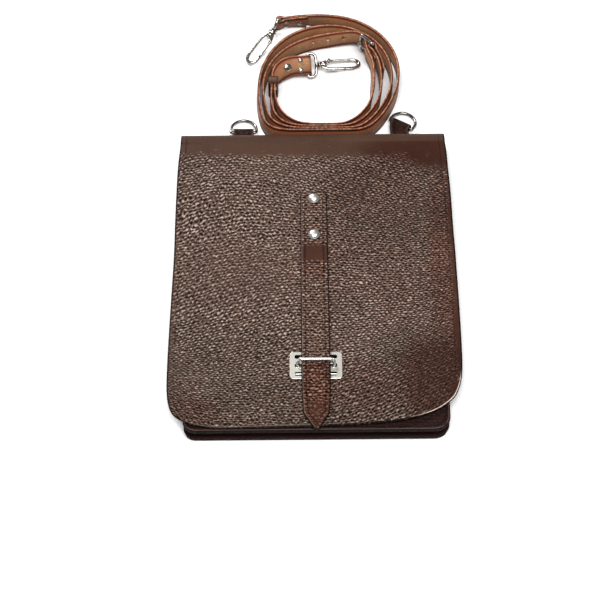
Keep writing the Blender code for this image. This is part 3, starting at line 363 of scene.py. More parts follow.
def grained_leather(name, valley_shade, middle, crest_highlight, red, grain=1.0, crease_at=0.42, crease_share=0.5):
    """Leather with pebbled, wavy grain, with painted shade in its valleys, crease and rim and painted
    highlights on its crests and shining rim. Worn 1 takes it away, and edge is the distance to the rim in cm.
    """
    s = Shader(name)
    place = s.uv()
    edge = s.attribute("edge")
    bent = s.wandering(s.wandering(place, 0.9, 0.32), 2.6, 0.11)
    split = s.node("ShaderNodeSeparateXYZ", Vector=bent)
    height = 0.5
    for number, (across, up, share) in enumerate(GRAIN_WAVES):
        wander = s.noise(s.scaled(place, (1.0, 1.0, 1.0), (11.0 * number, 5.0, 0.0)), 1.5, 2.0, 0.6)
        phase = s.add(s.times(split.outputs[0], across), s.times(split.outputs[1], up))
        wave = s.math("COSINE", s.times(s.add(phase, s.times(wander, 2.1)), 2.0 * math.pi))
        height = s.add(s.times(wave, share), height)
    rough_part = s.noise(s.scaled(bent, (2.0, 4.6, 1.0), (3.0, 9.0, 0.0)), 1.0, 2.0, 0.6)
    height = s.add(height, s.times(s.less(rough_part, 0.5), 0.75))
    chance = s.noise(s.scaled(bent, (1.3, 2.2, 1.0), (31.0, 17.0, 0.0)), 1.0, 2.0, 0.6)
    fade = s.step(s.less(1.0, s.attribute("worn")), 0.10, 1.0)
    fine = s.noise(place, 13.0, 3.0, 0.65)
    drift = s.noise(place, 0.22, 3.0, 0.55)

    # Grain valleys take a near-black painted shade and crests a pale painted highlight, over the leather's
    # own darker and lighter grain.
    tone = s.mix(s.step(height, 0.14, 0.50), valley_shade, middle)
    # Glints: the crest's painted highlight on the highest grain, where chance lets it through.
    glint = s.times(s.step(height, 0.60, 1.00), s.step(chance, 0.0, 0.50))
    tone = s.mix(glint, tone, crest_highlight)
    plain = s.mix(s.step(fine, 0.36, 0.66), *(dimmed(middle, share) for share in PLAIN_SHARES))
    tone = s.mix(fade, plain, tone)
    tone = s.mix(s.attribute("red"), tone, red, "MULTIPLY")
    tone = s.mix(s.attribute("shade"), tone, BLACK)
    tint = s.mix(s.step(drift, 0.35, 0.65), (0.91, 0.90, 0.89), (1.09, 1.08, 1.07))
    tone = s.mix(1.0, tone, tint, "MULTIPLY")
    crease = s.near(edge, crease_at, 0.09)
    rim = s.less(1.0, s.step(edge, 0.06, 0.19))
    # Painted shade: the crease and a thin band along the rim are darkened towards the valley colour.
    tone = s.mix(s.times(crease, crease_share), tone, valley_shade)
    tone = s.mix(s.times(rim, 0.88), tone, valley_shade)
    # Painted highlight: a pale line just inside the rim, where the shine attribute is set.
    shine = s.times(s.attribute("shine"), s.step(fine, 0.32, 0.52))
    tone = s.mix(s.times(s.near(edge, 0.10, 0.09), shine), tone, tuple(min(c * 1.6, 0.8) for c in crest_highlight))

    relief = s.add(s.times(height, fade), s.times(fine, 0.12))
    relief = s.less(relief, s.times(crease, crease_share))
    rough = s.add(0.34, s.times(s.less(1.0, height), 0.26))
    return s.finish(tone, rough, s.bump(relief, 0.0013 * grain), Specular_IOR_Level=0.06)


def strap_leather(name, darken=1.0, edge_share=1.0):
    """Vegetable-tanned strap: tan face, reddish bands inside a crease along each edge, pale edges; painted
    highlight and shade split each edge, and painted shade darkens the crease, the outer face beside each edge
    and the lower part of each face.
    """

    def tone_of(*colour):
        return dimmed(colour, darken)

    def edge_tone(*colour):
        return dimmed(colour, edge_share)

    s = Shader(name)
    place = s.uv()
    split = s.node("ShaderNodeSeparateXYZ", Vector=place)
    across = s.math("ABSOLUTE", split.outputs[1])
    face = s.attribute("face")
    fibre = s.noise(s.scaled(place, (1.2, 6.0, 1.0)), 2.0, 4.0, 0.6)
    fine = s.noise(place, 18.0, 3.0, 0.6)
    drift = s.noise(place, 0.5, 3.0, 0.55)
    knots = s.noise(place, 4.5, 2.0, 0.6)

    streak = s.step(fibre, 0.35, 0.65)
    tan = s.mix(streak, tone_of(0.180, 0.070, 0.029), tone_of(0.320, 0.135, 0.060))
    flesh = s.mix(streak, tone_of(0.270, 0.135, 0.062), tone_of(0.430, 0.235, 0.115))
    tone = s.mix(s.step(face, -0.1, 0.1), flesh, tan)
    tone = s.mix(s.step(drift, 0.3, 0.7), tone, s.mix(0.45, tone, tone_of(0.30, 0.085, 0.034)))
    tone = s.mix(s.step(across, 0.56, 0.70), tone, tone_of(0.250, 0.060, 0.024))
    # The crease is darkened, partly as its own burnished colour and partly as painted shade.
    crease = s.near(across, 0.80, 0.075)
    tone = s.mix(crease, tone, tone_of(0.040, 0.010, 0.006))
    tone = s.mix(s.step(across, 0.86, 0.92), tone, tone_of(0.250, 0.085, 0.040))
    # Each edge gets a pale painted highlight on its flesh-side half and a dark painted shade on its
    # grain-side half, both varying in knots.
    pale = s.mix(s.step(knots, 0.40, 0.60), edge_tone(0.240, 0.085, 0.040), edge_tone(0.480, 0.235, 0.135))
    dark = s.mix(s.step(knots, 0.42, 0.62), edge_tone(0.060, 0.012, 0.007), edge_tone(0.190, 0.046, 0.020))
    tone = s.mix(s.step(across, 0.955, 0.985), tone, s.mix(s.step(face, -0.35, 0.15), pale, dark))
    # Painted shade: a near-black band on the outer face beside each edge.
    outer_rim_shade = s.times(s.step(across, 0.82, 0.88), s.step(face, 0.5, 0.8))
    tone = s.mix(outer_rim_shade, tone, edge_tone(0.022, 0.008, 0.006))
    # Painted shade: each face darkens towards black towards the strap's lower edge.
    tone = s.mix(s.times(s.step(split.outputs[1], 0.30, -0.95), 0.45), tone, BLACK)
    beads = s.math("SINE", s.times(split.outputs[0], 36.0))
    height = s.add(s.times(fine, 0.35), s.times(fibre, 0.25))
    height = s.add(height, s.times(s.times(beads, crease), 0.5))
    rough = s.add(0.48, s.times(fine, 0.2))
    return s.finish(tone, rough, s.bump(height, 0.00025), Specular_IOR_Level=0.18)


def metal(name, colour, rough, dark):
    """Plated steel, worn and a little tarnished."""
    s = Shader(name)
    place = s.node("ShaderNodeTexCoord").outputs["Object"]
    blotch = s.noise(place, 420.0, 4.0, 0.6)
    scratch = s.noise(s.scaled(place, (900.0, 2600.0, 1500.0)), 1.0, 3.0, 0.6)
    tone = s.mix(s.step(blotch, 0.42, 0.72), colour, dark)
    return s.finish(tone, s.add(rough, s.times(blotch, 0.16)), s.bump(scratch, 0.00001), Metallic=1.0)


GRAINED = grained_leather(
    "grained_leather", (0.004, 0.002, 0.0015), (0.088, 0.052, 0.038), (0.44, 0.355, 0.305),
    (0.74, 0.52, 0.46), crease_at=0.60, crease_share=0.3,
)
# Body leather under the flap: its brown leather is painted nearly black, as painted shade cast by the flap.
BODY_SKIN_IN_PAINTED_SHADE = grained_leather(
    "body_leather", (0.004, 0.002, 0.002), (0.022, 0.010, 0.009), (0.055, 0.034, 0.028), (1.0, 0.80, 0.78),
    grain=0.6,
)
TAB_SKIN = grained_leather(
    "tab_leather", (0.004, 0.002, 0.002), (0.028, 0.013, 0.010), (0.10, 0.06, 0.048), (1.0, 0.78, 0.74),
    grain=0.6,
)
TONGUE_SKIN = grained_leather(
    "tongue_leather", (0.004, 0.002, 0.0015), (0.086, 0.049, 0.036), (0.40, 0.315, 0.265), (0.80, 0.54, 0.46),
    grain=0.9,
)
STRAP_SKIN = strap_leather("strap_leather")
KEEPER_SKIN = strap_leather("keeper_leather", 0.28, 0.8)
NICKEL = metal("worn_nickel", (0.50, 0.48, 0.45), 0.13, (0.11, 0.10, 0.09))
RIVET_METAL = metal("rivet_nickel", (0.46, 0.43, 0.39), 0.30, (0.16, 0.14, 0.12))
DOME_METAL = metal("dome_nickel", (0.90, 0.89, 0.85), 0.27, (0.66, 0.64, 0.60))
PLATE_METAL = metal("plate_nickel", (0.72, 0.70, 0.64), 0.32, (0.56, 0.53, 0.48))
DARK_METAL = metal("dark_nickel", (0.26, 0.245, 0.225), 0.16, (0.04, 0.036, 0.033))


def mesh_object(name, vertices, faces):
    """An object from points in millimetres."""
    mesh = bpy.data.meshes.new(name)
    mesh.from_pydata((np.asarray(vertices) * MM).tolist(), [], faces)
    mesh.update()
    obj = bpy.data.objects.new(name, mesh)
    bpy.context.scene.collection.objects.link(obj)
    return obj


def place_piece(name, shape, material, node, slot="nickel", body="case", uv=None, **floats):
    """A piece from its vertices and faces, which rides on a body and replaces a CAD node."""
    obj = mesh_object(name, *shape)
    mesh = obj.data
    mesh.materials.append(material)
    for polygon in mesh.polygons:
        polygon.use_smooth = True
    if uv is not None:
        layer = mesh.uv_layers.new(name="leather")
        corners = np.empty(len(mesh.loops), dtype=np.int32)
        mesh.loops.foreach_get("vertex_index", corners)
        layer.data.foreach_set("uv", np.asarray(uv, np.float32)[corners].ravel())
    for key, values in floats.items():
        made = mesh.attributes.new(key, "FLOAT", "POINT")
        made.data.foreach_set("value", np.asarray(values, np.float32))
    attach(obj, body)
    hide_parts(node)
    return obj


def place_shell(name, shell, material, node, slot, uv, **values):
    """A shell of leather as a piece; each value is one number or has one for each point of the grid."""
    spread = {key: shell.spread(value) for key, value in values.items()}
    shape = shell.vertices, shell.faces
    return place_piece(name, shape, material, node, slot, uv=shell.spread(uv), **spread)


def curve_through(points, spacing, closed=False):
    """Points at about this spacing on a smooth curve through the given rows."""
    points = np.asarray(points, float)
    if closed:
        padded = np.vstack((points[-1:], points, points[:2]))
    else:
        padded = np.vstack((2 * points[:1] - points[1:2], points, 2 * points[-1:] - points[-2:-1]))
    made = []
    for a, b, c, d in zip(padded, padded[1:], padded[2:], padded[3:]):
        steps = max(1, int(round(float(np.linalg.norm((c - b)[:3])) / spacing)))
        for t in np.arange(steps) / steps:
            curve = (2 * a - 5 * b + 4 * c - d) * t**2 + (3 * b - a - 3 * c + d) * t**3
            made.append(0.5 * (2 * b + (c - a) * t + curve))
    if not closed:
        made.append(points[-1])
    return np.array(made)


def run_lengths(points):
    """Length along a polyline up to each of its points."""
    return np.concatenate(([0.0], np.cumsum(np.linalg.norm(np.diff(points, axis=0), axis=1))))


def resampled(points, count):
    """This many points at even steps along a polyline."""
    points = np.asarray(points, float)
    gone = run_lengths(points)
    wanted = np.linspace(0.0, gone[-1], count)
    return np.stack([np.interp(wanted, gone, points[:, k]) for k in range(points.shape[1])], axis=1)


def resampled_loop(points, count):
    """This many points at even steps round a closed line."""
    return resampled([*points, points[0]], count + 1)[:-1]


def arc(start, end, steps):
    """Cosine and sine of evenly spaced angles from start to end."""
    angles = [start + (end - start) * step / steps for step in range(steps + 1)]
    return [(math.cos(angle), math.sin(angle)) for angle in angles]


def dome(radius, low, rise, steps):
    """Profile of a dome from above its rim to its top: radius, height."""
    curve = [(radius * c, low + rise * s) for c, s in arc(0.0, math.pi / 2, steps)[1:-1]]
    return [*curve, (0.0, low + rise)]


def unit(vector):
    vector = np.asarray(vector, float)
    return vector / np.linalg.norm(vector)


def units(vectors):
    return vectors / np.maximum(np.linalg.norm(vectors, axis=-1, keepdims=True), 1e-9)


def smoothstep(value, low, high):
    share = np.clip((np.asarray(value, float) - low) / (high - low), 0.0, 1.0)
    return share * share * (3.0 - 2.0 * share)


def soft_noise(x, y, size, seed):
    """Smooth hills of about this size in mm, between -1 and 1."""
    source = np.random.default_rng(seed)
    total = np.zeros_like(x, dtype=float)
    for _ in range(9):
        angle, phase, stretch = source.uniform(0.0, 2.0 * math.pi, 2).tolist() + [source.uniform(0.7, 1.5)]
        wave = (x * math.cos(angle) + y * math.sin(angle)) * 2.0 * math.pi / (size * stretch)
        total += np.sin(wave + phase)
    return total / 4.5


def blend_of_spots(x, y, spots):
    """Greatest share, from 0 to 1, of oval spots given as x, y, half width, half height, share."""
    total = np.zeros_like(x, dtype=float)
    for centre_x, centre_y, half_x, half_y, share in spots:
        far = np.sqrt(((x - centre_x) / half_x) ** 2 + ((y - centre_y) / half_y) ** 2)
        total = np.maximum(total, share * (1.0 - smoothstep(far, 0.55, 1.25)))
    return total


class Shell:
    """A closed sheet of leather about a grid of points, with a rounded rim; the face at up_at looks up."""

    def __init__(self, grid, thickness, round_edge, up_at=None):
        rows, columns = grid.shape[:2]
        normal = units(np.cross(np.gradient(grid, axis=1), np.gradient(grid, axis=0)))
        flipped = up_at is not None and normal[up_at][2] < 0.0
        if flipped:
            normal = -normal
        loop = [(0, j) for j in range(columns)]
        loop += [(i, columns - 1) for i in range(1, rows)]
        loop += [(rows - 1, j) for j in range(columns - 2, -1, -1)]
        loop += [(i, 0) for i in range(rows - 2, 0, -1)]
        self.grid = grid
        self.rim = tuple(np.array(loop).T)
        edge = grid[self.rim]
        tangent = units(np.roll(edge, -1, axis=0) - np.roll(edge, 1, axis=0))
        inward = units(np.cross(normal[self.rim], tangent))
        inner = tuple(np.clip(index, 1, limit - 2) for index, limit in zip(self.rim, (rows, columns)))
        outward = np.sum(inward * (grid[inner] - edge), axis=1, keepdims=True) < 0.0
        inward *= np.where(outward, -1.0, 1.0)
        half = thickness / 2
        upper = grid + normal * half
        lower = grid - normal * half
        upper[self.rim] += inward * round_edge
        lower[self.rim] += inward * round_edge
        profile = (
            (round_edge * 0.3, half - round_edge * 0.3),
            (0.0, half - round_edge),
            (0.0, round_edge - half),
            (round_edge * 0.3, round_edge * 0.3 - half),
        )
        bands = [edge + inward * inset + normal[self.rim] * lift for inset, lift in profile]
        self.bands = len(bands)
        self.vertices = np.vstack((upper.reshape(-1, 3), lower.reshape(-1, 3), *bands))

        base, count = rows * columns, len(loop)
        number = np.arange(base).reshape(rows, columns)
        quads = (number[:-1, :-1], number[:-1, 1:], number[1:, 1:], number[1:, :-1])
        quads = np.stack(quads, axis=-1).reshape(-1, 4)
        rings = [2 * base + k * count + np.arange(count) for k in range(self.bands)]
        rings = [number[self.rim], *rings, number[self.rim] + base]
        sides = [np.stack((a, b, np.roll(b, -1), np.roll(a, -1)), axis=-1) for a, b in zip(rings, rings[1:])]
        faces = np.vstack((quads, quads[:, ::-1] + base, *sides))
        self.faces = (faces[:, ::-1] if flipped else faces).tolist()

    def spread(self, values):
        """One value for each vertex, from one for each point of the grid or from one number."""
        values = np.asarray(values, float)
        if values.ndim == 0:
            values = np.full(self.grid.shape[:2], values)
        flat = values.reshape(self.grid.shape[0] * self.grid.shape[1], -1)
        rim = values[self.rim].reshape(len(self.rim[0]), -1)
        made = np.vstack((flat, flat, *([rim] * self.bands)))
        return made if made.shape[1] > 1 else made[:, 0]

    def rim_distance(self):
        """Distance from each grid point to the rim, in cm."""
        edge = self.grid[self.rim]
        near = [np.sqrt(((row[:, None] - edge) ** 2).sum(axis=2).min(axis=1)) for row in self.grid]
        return np.array(near) / 10.0


def cut_through(obj, cutters):
    """Cuts closed boxes or rods out of a piece and keeps the result as its mesh."""
    for shape in cutters:
        cutter = mesh_object("cutter", *shape)
        solid = bmesh.new()
        solid.from_mesh(cutter.data)
        bmesh.ops.recalc_face_normals(solid, faces=solid.faces[:])
        solid.to_mesh(cutter.data)
        solid.free()
        step = obj.modifiers.new("cut", "BOOLEAN")
        step.operation = "DIFFERENCE"
        step.solver = "EXACT"
        step.object = cutter
        apply_modifiers(obj)
        bpy.data.objects.remove(cutter, do_unlink=True)


def apply_modifiers(obj):
    graph = bpy.context.evaluated_depsgraph_get()
    graph.update()
    evaluated = obj.evaluated_get(graph)
    made = bpy.data.meshes.new_from_object(evaluated, preserve_all_data_layers=True, depsgraph=graph)
    old = obj.data
    obj.modifiers.clear()
    obj.data = made
    made.name = obj.name
    bpy.data.meshes.remove(old)


def block(low, high):
    corners = [(x, y, z) for x in (low[0], high[0]) for y in (low[1], high[1]) for z in (low[2], high[2])]
    faces = [(0, 1, 3, 2), (4, 6, 7, 5), (0, 4, 5, 1), (2, 3, 7, 6), (0, 2, 6, 4), (1, 5, 7, 3)]
    return corners, faces


def turned(profile, place, axis, sides=40):
    """Vertices and faces of a turned piece: profile of (radius, height) from the axis to the axis."""
    along = unit(axis)
    across = unit(np.cross((0.0, 1.0, 0.0) if abs(along[1]) < 0.9 else (1.0, 0.0, 0.0), along))
    up = np.cross(along, across)
    place = np.asarray(place, float)
    vertices = [place + along * profile[0][1]]
    inner = profile[1:-1]
    for radius, height in inner:
        for k in range(sides):
            angle = 2.0 * math.pi * k / sides
            outward = across * math.cos(angle) + up * math.sin(angle)
            vertices.append(place + along * height + radius * outward)
    vertices.append(place + along * profile[-1][1])
    faces = []
    last = len(vertices) - 1
    for k in range(sides):
        following = (k + 1) % sides
        faces.append((0, 1 + following, 1 + k))
        for ring in range(len(inner) - 1):
            a = 1 + ring * sides
            b = a + sides
            faces.append((a + k, a + following, b + following, b + k))
        a = 1 + (len(inner) - 1) * sides
        faces.append((a + k, a + following, last))
    return np.array(vertices), faces


def rod(start, end, radius):
    way = np.asarray(end, float) - start
    length = float(np.linalg.norm(way))
    return turned(((0.0, 0.0), (radius, 0.0), (radius, length), (0.0, length)), start, way, 24)


def skin(rings, closed=False, flip=False):
    """Vertices and faces of a tube through rings of points, capped unless it is closed."""
    count, sides = rings.shape[:2]
    number = np.arange(count * sides).reshape(count, sides)
    faces = []
    for k in range(count if closed else count - 1):
        a, d = number[k], number[(k + 1) % count]
        b, c = np.roll(a, -1), np.roll(d, -1)
        faces += np.stack((a, d, c, b) if flip else (a, b, c, d), axis=-1).tolist()
    if not closed:
        ends = (number[0], number[-1][::-1]) if flip else (number[0][::-1], number[-1])
        faces += [end.tolist() for end in ends]
    return rings.reshape(-1, 3), faces


def directions(path, closed):
    """Unit direction of a path at each of its points."""
    if closed:
        return units(np.roll(path, -1, axis=0) - np.roll(path, 1, axis=0))
    return units(np.gradient(path, axis=0))


def tube(path, radius, closed=False, sides=16):
    """Vertices and faces of a round wire; radius may be one for each point."""
    path = np.asarray(path, float)
    count = len(path)
    radii = np.broadcast_to(np.asarray(radius, float), (count,))
    tangent = directions(path, closed)
    side = np.cross(tangent[0], UP)
    if np.linalg.norm(side) < 0.1:
        side = np.cross(tangent[0], (1.0, 0.0, 0.0))
    side = unit(side)
    sides_at = []
    for direction in tangent:
        side = unit(side - direction * (side @ direction))
        sides_at.append(side)
    sides_at = np.array(sides_at)
    ups = np.cross(tangent, sides_at)
    if closed:
        turn = math.atan2(float(sides_at[0] @ ups[-1]), float(sides_at[0] @ sides_at[-1]))
        share = np.arange(count)[:, None] / count * turn
        sides_at, ups = (
            sides_at * np.cos(share) + ups * np.sin(share),
            ups * np.cos(share) - sides_at * np.sin(share),
        )
    angles = np.arange(sides) * 2.0 * math.pi / sides
    return skin(
        path[:, None, :]
        + radii[:, None, None] * np.cos(angles)[None, :, None] * sides_at[:, None, :]
        + radii[:, None, None] * np.sin(angles)[None, :, None] * ups[:, None, :],
        closed,
    )


def joined(*parts):
    """Several closed shapes as one list of vertices and faces."""
    vertices, faces, base = [], [], 0
    for points, polygons in parts:
        vertices.append(np.asarray(points, float))
        faces += [tuple(base + k for k in polygon) for polygon in polygons]
        base += len(points)
    return np.vstack(vertices), faces


def swept(rows, section, spacing, closed=False):
    """A strap swept along rows of two edge points: its shape, uv in cm and the side of each vertex."""
    rows = np.asarray(rows, float)
    width = units(rows[:, 1] - rows[:, 0]) * 10.0
    path = curve_through(np.hstack((rows.mean(axis=1), width)), spacing, closed)
    middle = path[:, :3]
    width = units(path[:, 3:])
    tangent = directions(middle, closed)
    width = units(width - tangent * np.sum(width * tangent, axis=1, keepdims=True))
    outward = np.cross(width, tangent)
    section = np.asarray(section, float)
    rings = (
        middle[:, None, :]
        + section[None, :, :1] * width[:, None, :]
        + section[None, :, 1:] * outward[:, None, :]
    )
    count, points = rings.shape[:2]
    uv = np.stack((np.repeat(run_lengths(middle), points), np.tile(section[:, 0], count)), axis=-1) / 10.0
    side = np.tile(section[:, 1] / float(np.abs(section[:, 1]).max()), count)
    return skin(rings, closed, flip=True), uv, side


def strap_section():
    """Outline of a strap's cross section: across, outward; counter-clockwise seen along the strap."""
    wide, half = STRAP_WIDTH / 2, STRAP / 2
    crease = [(-8.35, half), (-8.0, half - 0.2), (-7.65, half)]
    left = [(0.65 - wide, half), *crease]
    face = [*left, (0.0, half), *((-x, z) for x, z in reversed(left))]
    corner = [(wide - 0.2, half - 0.2), (wide, half - 0.65)]
    right = corner + [(x, -z) for x, z in reversed(corner)]
    return [*face, *right, *((-x, -z) for x, z in face), *((-x, -z) for x, z in right)]


def edge_points(point, width, half=STRAP_WIDTH / 2):
    """The two edge points of a strap about a point of its middle line."""
    return [point - width * half, point + width * half]


def polar(angle, radius, z=0.0):
    turn = math.radians(angle)
    return np.array((ROLL_CENTRE[0] + radius * math.cos(turn), ROLL_CENTRE[1] + radius * math.sin(turn), z))


def smoothed(values):
    values = np.array(values, float)
    for _ in range(2):
        inner = (values[:-2] + 2.0 * values[1:-1] + values[2:]) / 4.0
        values = np.concatenate((values[:1], inner, values[-1:]))
    return values


def roll_points(table, runs):
    """Middle line of a rolled strap as points, with the lean at each: rows of x, y, z, lean."""
    table = np.array(table)
    count = int(round((table[0, 0] - table[-1, 0]) / ROLL_STEP))
    angles = np.linspace(table[0, 0], table[-1, 0], count + 1)
    columns = [np.interp(-angles, -table[:, 0], table[:, k]) for k in (1, 2, 3)]
    rows = []
    for angle, radius, lift, lean in zip(angles, *columns):
        tip = math.radians(abs(lean))
        height = (STRAP_WIDTH * math.cos(tip) + STRAP * math.sin(tip)) / 2
        point = polar(angle, radius, lift + height)
        run = next(y for last, y in runs if angle >= last)
        point[1] = max(point[1], run)
        rows.append((*point, lean))
    return smoothed(rows)


def strap_frames(rows):
    """Place, direction, width direction and outward normal at each row of x, y, z, lean."""
    rows = np.asarray(rows, float)
    places = rows[:, :3]
    ahead = np.vstack((places[1:], places[-1:])) - np.vstack((places[:1], places[:-1]))
    frames = []
    for place, direction, lean in zip(places, ahead, np.radians(rows[:, 3])):
        along = unit(direction)
        outward = unit(np.cross((0.0, 0.0, 1.0), along))
        raised = np.array((0.0, 0.0, 1.0)) * math.cos(lean) + outward * math.sin(lean)
        width = unit(raised - along * (raised @ along))
        frames.append((place, along, width, unit(np.cross(width, along))))
    return frames


def turned_round(rows):
    """The same rows from the other end, where an outward lean counts the other way."""
    return np.asarray(rows)[::-1] * (1.0, 1.0, 1.0, -1.0)


def strap_rows(frames):
    return [edge_points(place, width) for place, _, width, _ in frames]


def nearest_frame(frames, place):
    return min(frames, key=lambda frame: float(np.linalg.norm(frame[0] - place)))


def fold(frames, side, length=TAIL_LENGTH):
    """Rows that carry a strap round a bar and back, the bar's middle, and the last frame's directions."""
    place, along, width, normal = frames[-1]
    back = normal * side
    bar = place + along * FOLD_LEAD + back * LAYER / 2
    points = [bar + along * ahead - back * away for ahead, away in FOLD_NECK]
    for c, s in arc(-math.pi / 2, math.pi / 2, 6):
        points.append(bar + along * FOLD_RADIUS * c + back * FOLD_RADIUS * s)
    points += [bar + along * ahead + back * away for ahead, away in reversed(FOLD_NECK)]
    rows = [edge_points(point, width) for point in points]
    gone = 0.0
    previous = place
    for middle, _, rise, outward in reversed(frames):
        gone += float(np.linalg.norm(middle - previous))
        previous = middle
        if gone > length:
            break
        rows.append(edge_points(middle + outward * side * LAYER, rise))
    return rows, bar, (along, width)


def coons(top, left, right, foot):
    """Grid of points between four edges that share their corners, first row on top."""
    top, left, right, foot = (np.asarray(edge, float) for edge in (top, left, right, foot))
    v = np.linspace(0.0, 1.0, len(left))[:, None, None]
    u = np.linspace(0.0, 1.0, len(top))[None, :, None]
    ruled = (1 - v) * top[None] + v * foot[None] + (1 - u) * left[:, None] + u * right[:, None]
    upper = (1 - u) * top[0] + u * top[-1]
    lower = (1 - u) * foot[0] + u * foot[-1]
    return ruled - (1 - v) * upper - v * lower


def rounded_outline(half_width, low, high, left, right):
    """Body outline from its upper left end round the lower corners to its upper right end."""
    points = [(-half_width, high)]
    for c, s in arc(math.pi, 1.5 * math.pi, CORNER_STEPS):
        points.append((-half_width + left + left * c, low + left + left * s))
    for c, s in arc(1.5 * math.pi, 2.0 * math.pi, CORNER_STEPS):
        points.append((half_width - right + right * c, low + right + right * s))
    return [*points, (half_width, high)]


# Slope of the grain's lines on the flap: x, y, slope, reach.
GRAIN_SLOPES = (
    (-125.0, 95.0, 0.35, 30.0), (-100.0, 40.0, 0.25, 40.0), (-60.0, 90.0, -0.10, 35.0),
    (-20.0, 100.0, -0.35, 30.0), (-20.0, 30.0, 0.05, 35.0), (-110.0, -70.0, 0.30, 40.0),
    (-60.0, -90.0, 0.25, 35.0), (-105.0, -145.0, -0.45, 22.0), (-60.0, -155.0, -0.08, 28.0),
    (-20.0, -150.0, 0.0, 30.0), (30.0, 90.0, -0.35, 35.0), (90.0, 90.0, -0.30, 40.0),
    (80.0, 20.0, -0.10, 45.0), (50.0, -60.0, -0.12, 28.0), (100.0, -60.0, 0.35, 35.0),
    (60.0, -110.0, 0.45, 35.0), (95.0, -125.0, 0.55, 30.0), (30.0, -140.0, 0.25, 28.0),
)
# Where the flap's grain is worn or rolled smooth: x, y, half width, half height, share.
SMOOTH_SPOTS = (
    (0.0, 151.0, 220.0, 22.0, 1.0), (128.0, 140.0, 52.0, 30.0, 0.85), (136.0, 20.0, 11.0, 130.0, 0.8),
    (136.0, -70.0, 12.0, 60.0, 0.9), (125.0, -130.0, 13.0, 14.0, 0.6), (-134.0, -20.0, 7.0, 150.0, 0.5),
    (-40.0, 118.0, 60.0, 8.0, 0.3), (-75.0, 0.0, 75.0, 45.0, 0.3), (114.0, -118.0, 38.0, 46.0, 0.42),
)
# Where the flap shows more red: x, y, half width, half height, share.
RED_SPOTS = (
    (110.0, 140.0, 70.0, 24.0, 1.0), (128.0, 0.0, 26.0, 150.0, 0.8), (112.0, -115.0, 44.0, 50.0, 1.0),
    (45.0, -125.0, 40.0, 30.0, 0.5), (-115.0, -148.0, 30.0, 18.0, 0.6), (20.0, 20.0, 40.0, 70.0, 0.25),
    (62.0, 92.0, 58.0, 46.0, 0.4), (84.0, 10.0, 46.0, 90.0, 0.25),
)

# Where the flap is coloured darker: x, y, half width, half height, share of light lost.
SHADE_SPOTS = (
    (76.0, 88.0, 75.0, 75.0, 0.20), (0.0, -155.0, 190.0, 58.0, 0.22), (104.0, -122.0, 52.0, 60.0, 0.34),
    (-85.0, -110.0, 60.0, 60.0, 0.14),
)

# Where the flap's rim gets a painted highlight, as if it caught the light: x, y, half width, half height,
# share.
SHINE_SPOTS = (
    (112.0, -142.0, 30.0, 20.0, 1.0), (126.0, -126.0, 14.0, 16.0, 1.0), (-60.0, -160.0, 80.0, 8.0, 0.25),
)

# Smooth and red places of the tongue: x, y, half width, half height, share.
TONGUE_SMOOTH = ((0.0, 18.0, 30.0, 10.0, 0.95), (0.0, -154.0, 20.0, 18.0, 0.5))
TONGUE_RED = ((0.0, 10.0, 30.0, 26.0, 0.6), (0.0, -135.0, 30.0, 44.0, 1.0), (0.0, 0.0, 60.0, 300.0, 0.25))


def flap_outline():
    """Left edge, foot and right edge of the flap as smooth lines of points."""
    left = [(row[0], row[1]) for row in FLAP_SIDES]
    right = [(row[2], row[3]) for row in FLAP_SIDES]
    start = (-SPINE_HALF_WIDTH, SPINE_CENTRE_Y)
    end = (SPINE_HALF_WIDTH, SPINE_CENTRE_Y)
    line = curve_through([start, *left, *FLAP_FOOT, *right[::-1], end], 1.0)
    first = int(np.argmin(np.linalg.norm(line - np.array(FLAP_FOOT[0]), axis=1)))
    last = int(np.argmin(np.linalg.norm(line - np.array(FLAP_FOOT[-1]), axis=1)))
    return line[: first + 1], line[first : last + 1], line[last:][::-1]


def back_outline():
    body = rounded_outline(BODY_HALF_WIDTH, BODY_FOOT_Y, BODY_TOP_Y, BODY_CORNER_LEFT, BODY_CORNER_RIGHT)
    left = [*reversed(body[1 : CORNER_MIDDLE + 1]), *((-half, y) for y, half in BACK_SIDES)]
    right = [*body[-1 - CORNER_MIDDLE : -1], *((half, y) for y, half in BACK_SIDES)]
    foot = body[CORNER_MIDDLE:-CORNER_MIDDLE]
    left.append((-SPINE_HALF_WIDTH, SPINE_CENTRE_Y))
    right.append((SPINE_HALF_WIDTH, SPINE_CENTRE_Y))
    return left, foot, right


def grain_shift(x, y):
    """How far the lines of grain rise over x, from the table of slopes."""
    weight = np.full_like(x, 0.02)
    slope = np.zeros_like(x)
    for centre_x, centre_y, value, reach in GRAIN_SLOPES:
        share = np.exp(-((x - centre_x) ** 2 + (y - centre_y) ** 2) / (2.0 * reach * reach))
        weight += share
        slope += share * value
    slope /= weight
    step = np.gradient(x, axis=1)
    total = np.cumsum(slope * step, axis=1)
    return total - total[:, total.shape[1] // 2][:, None]


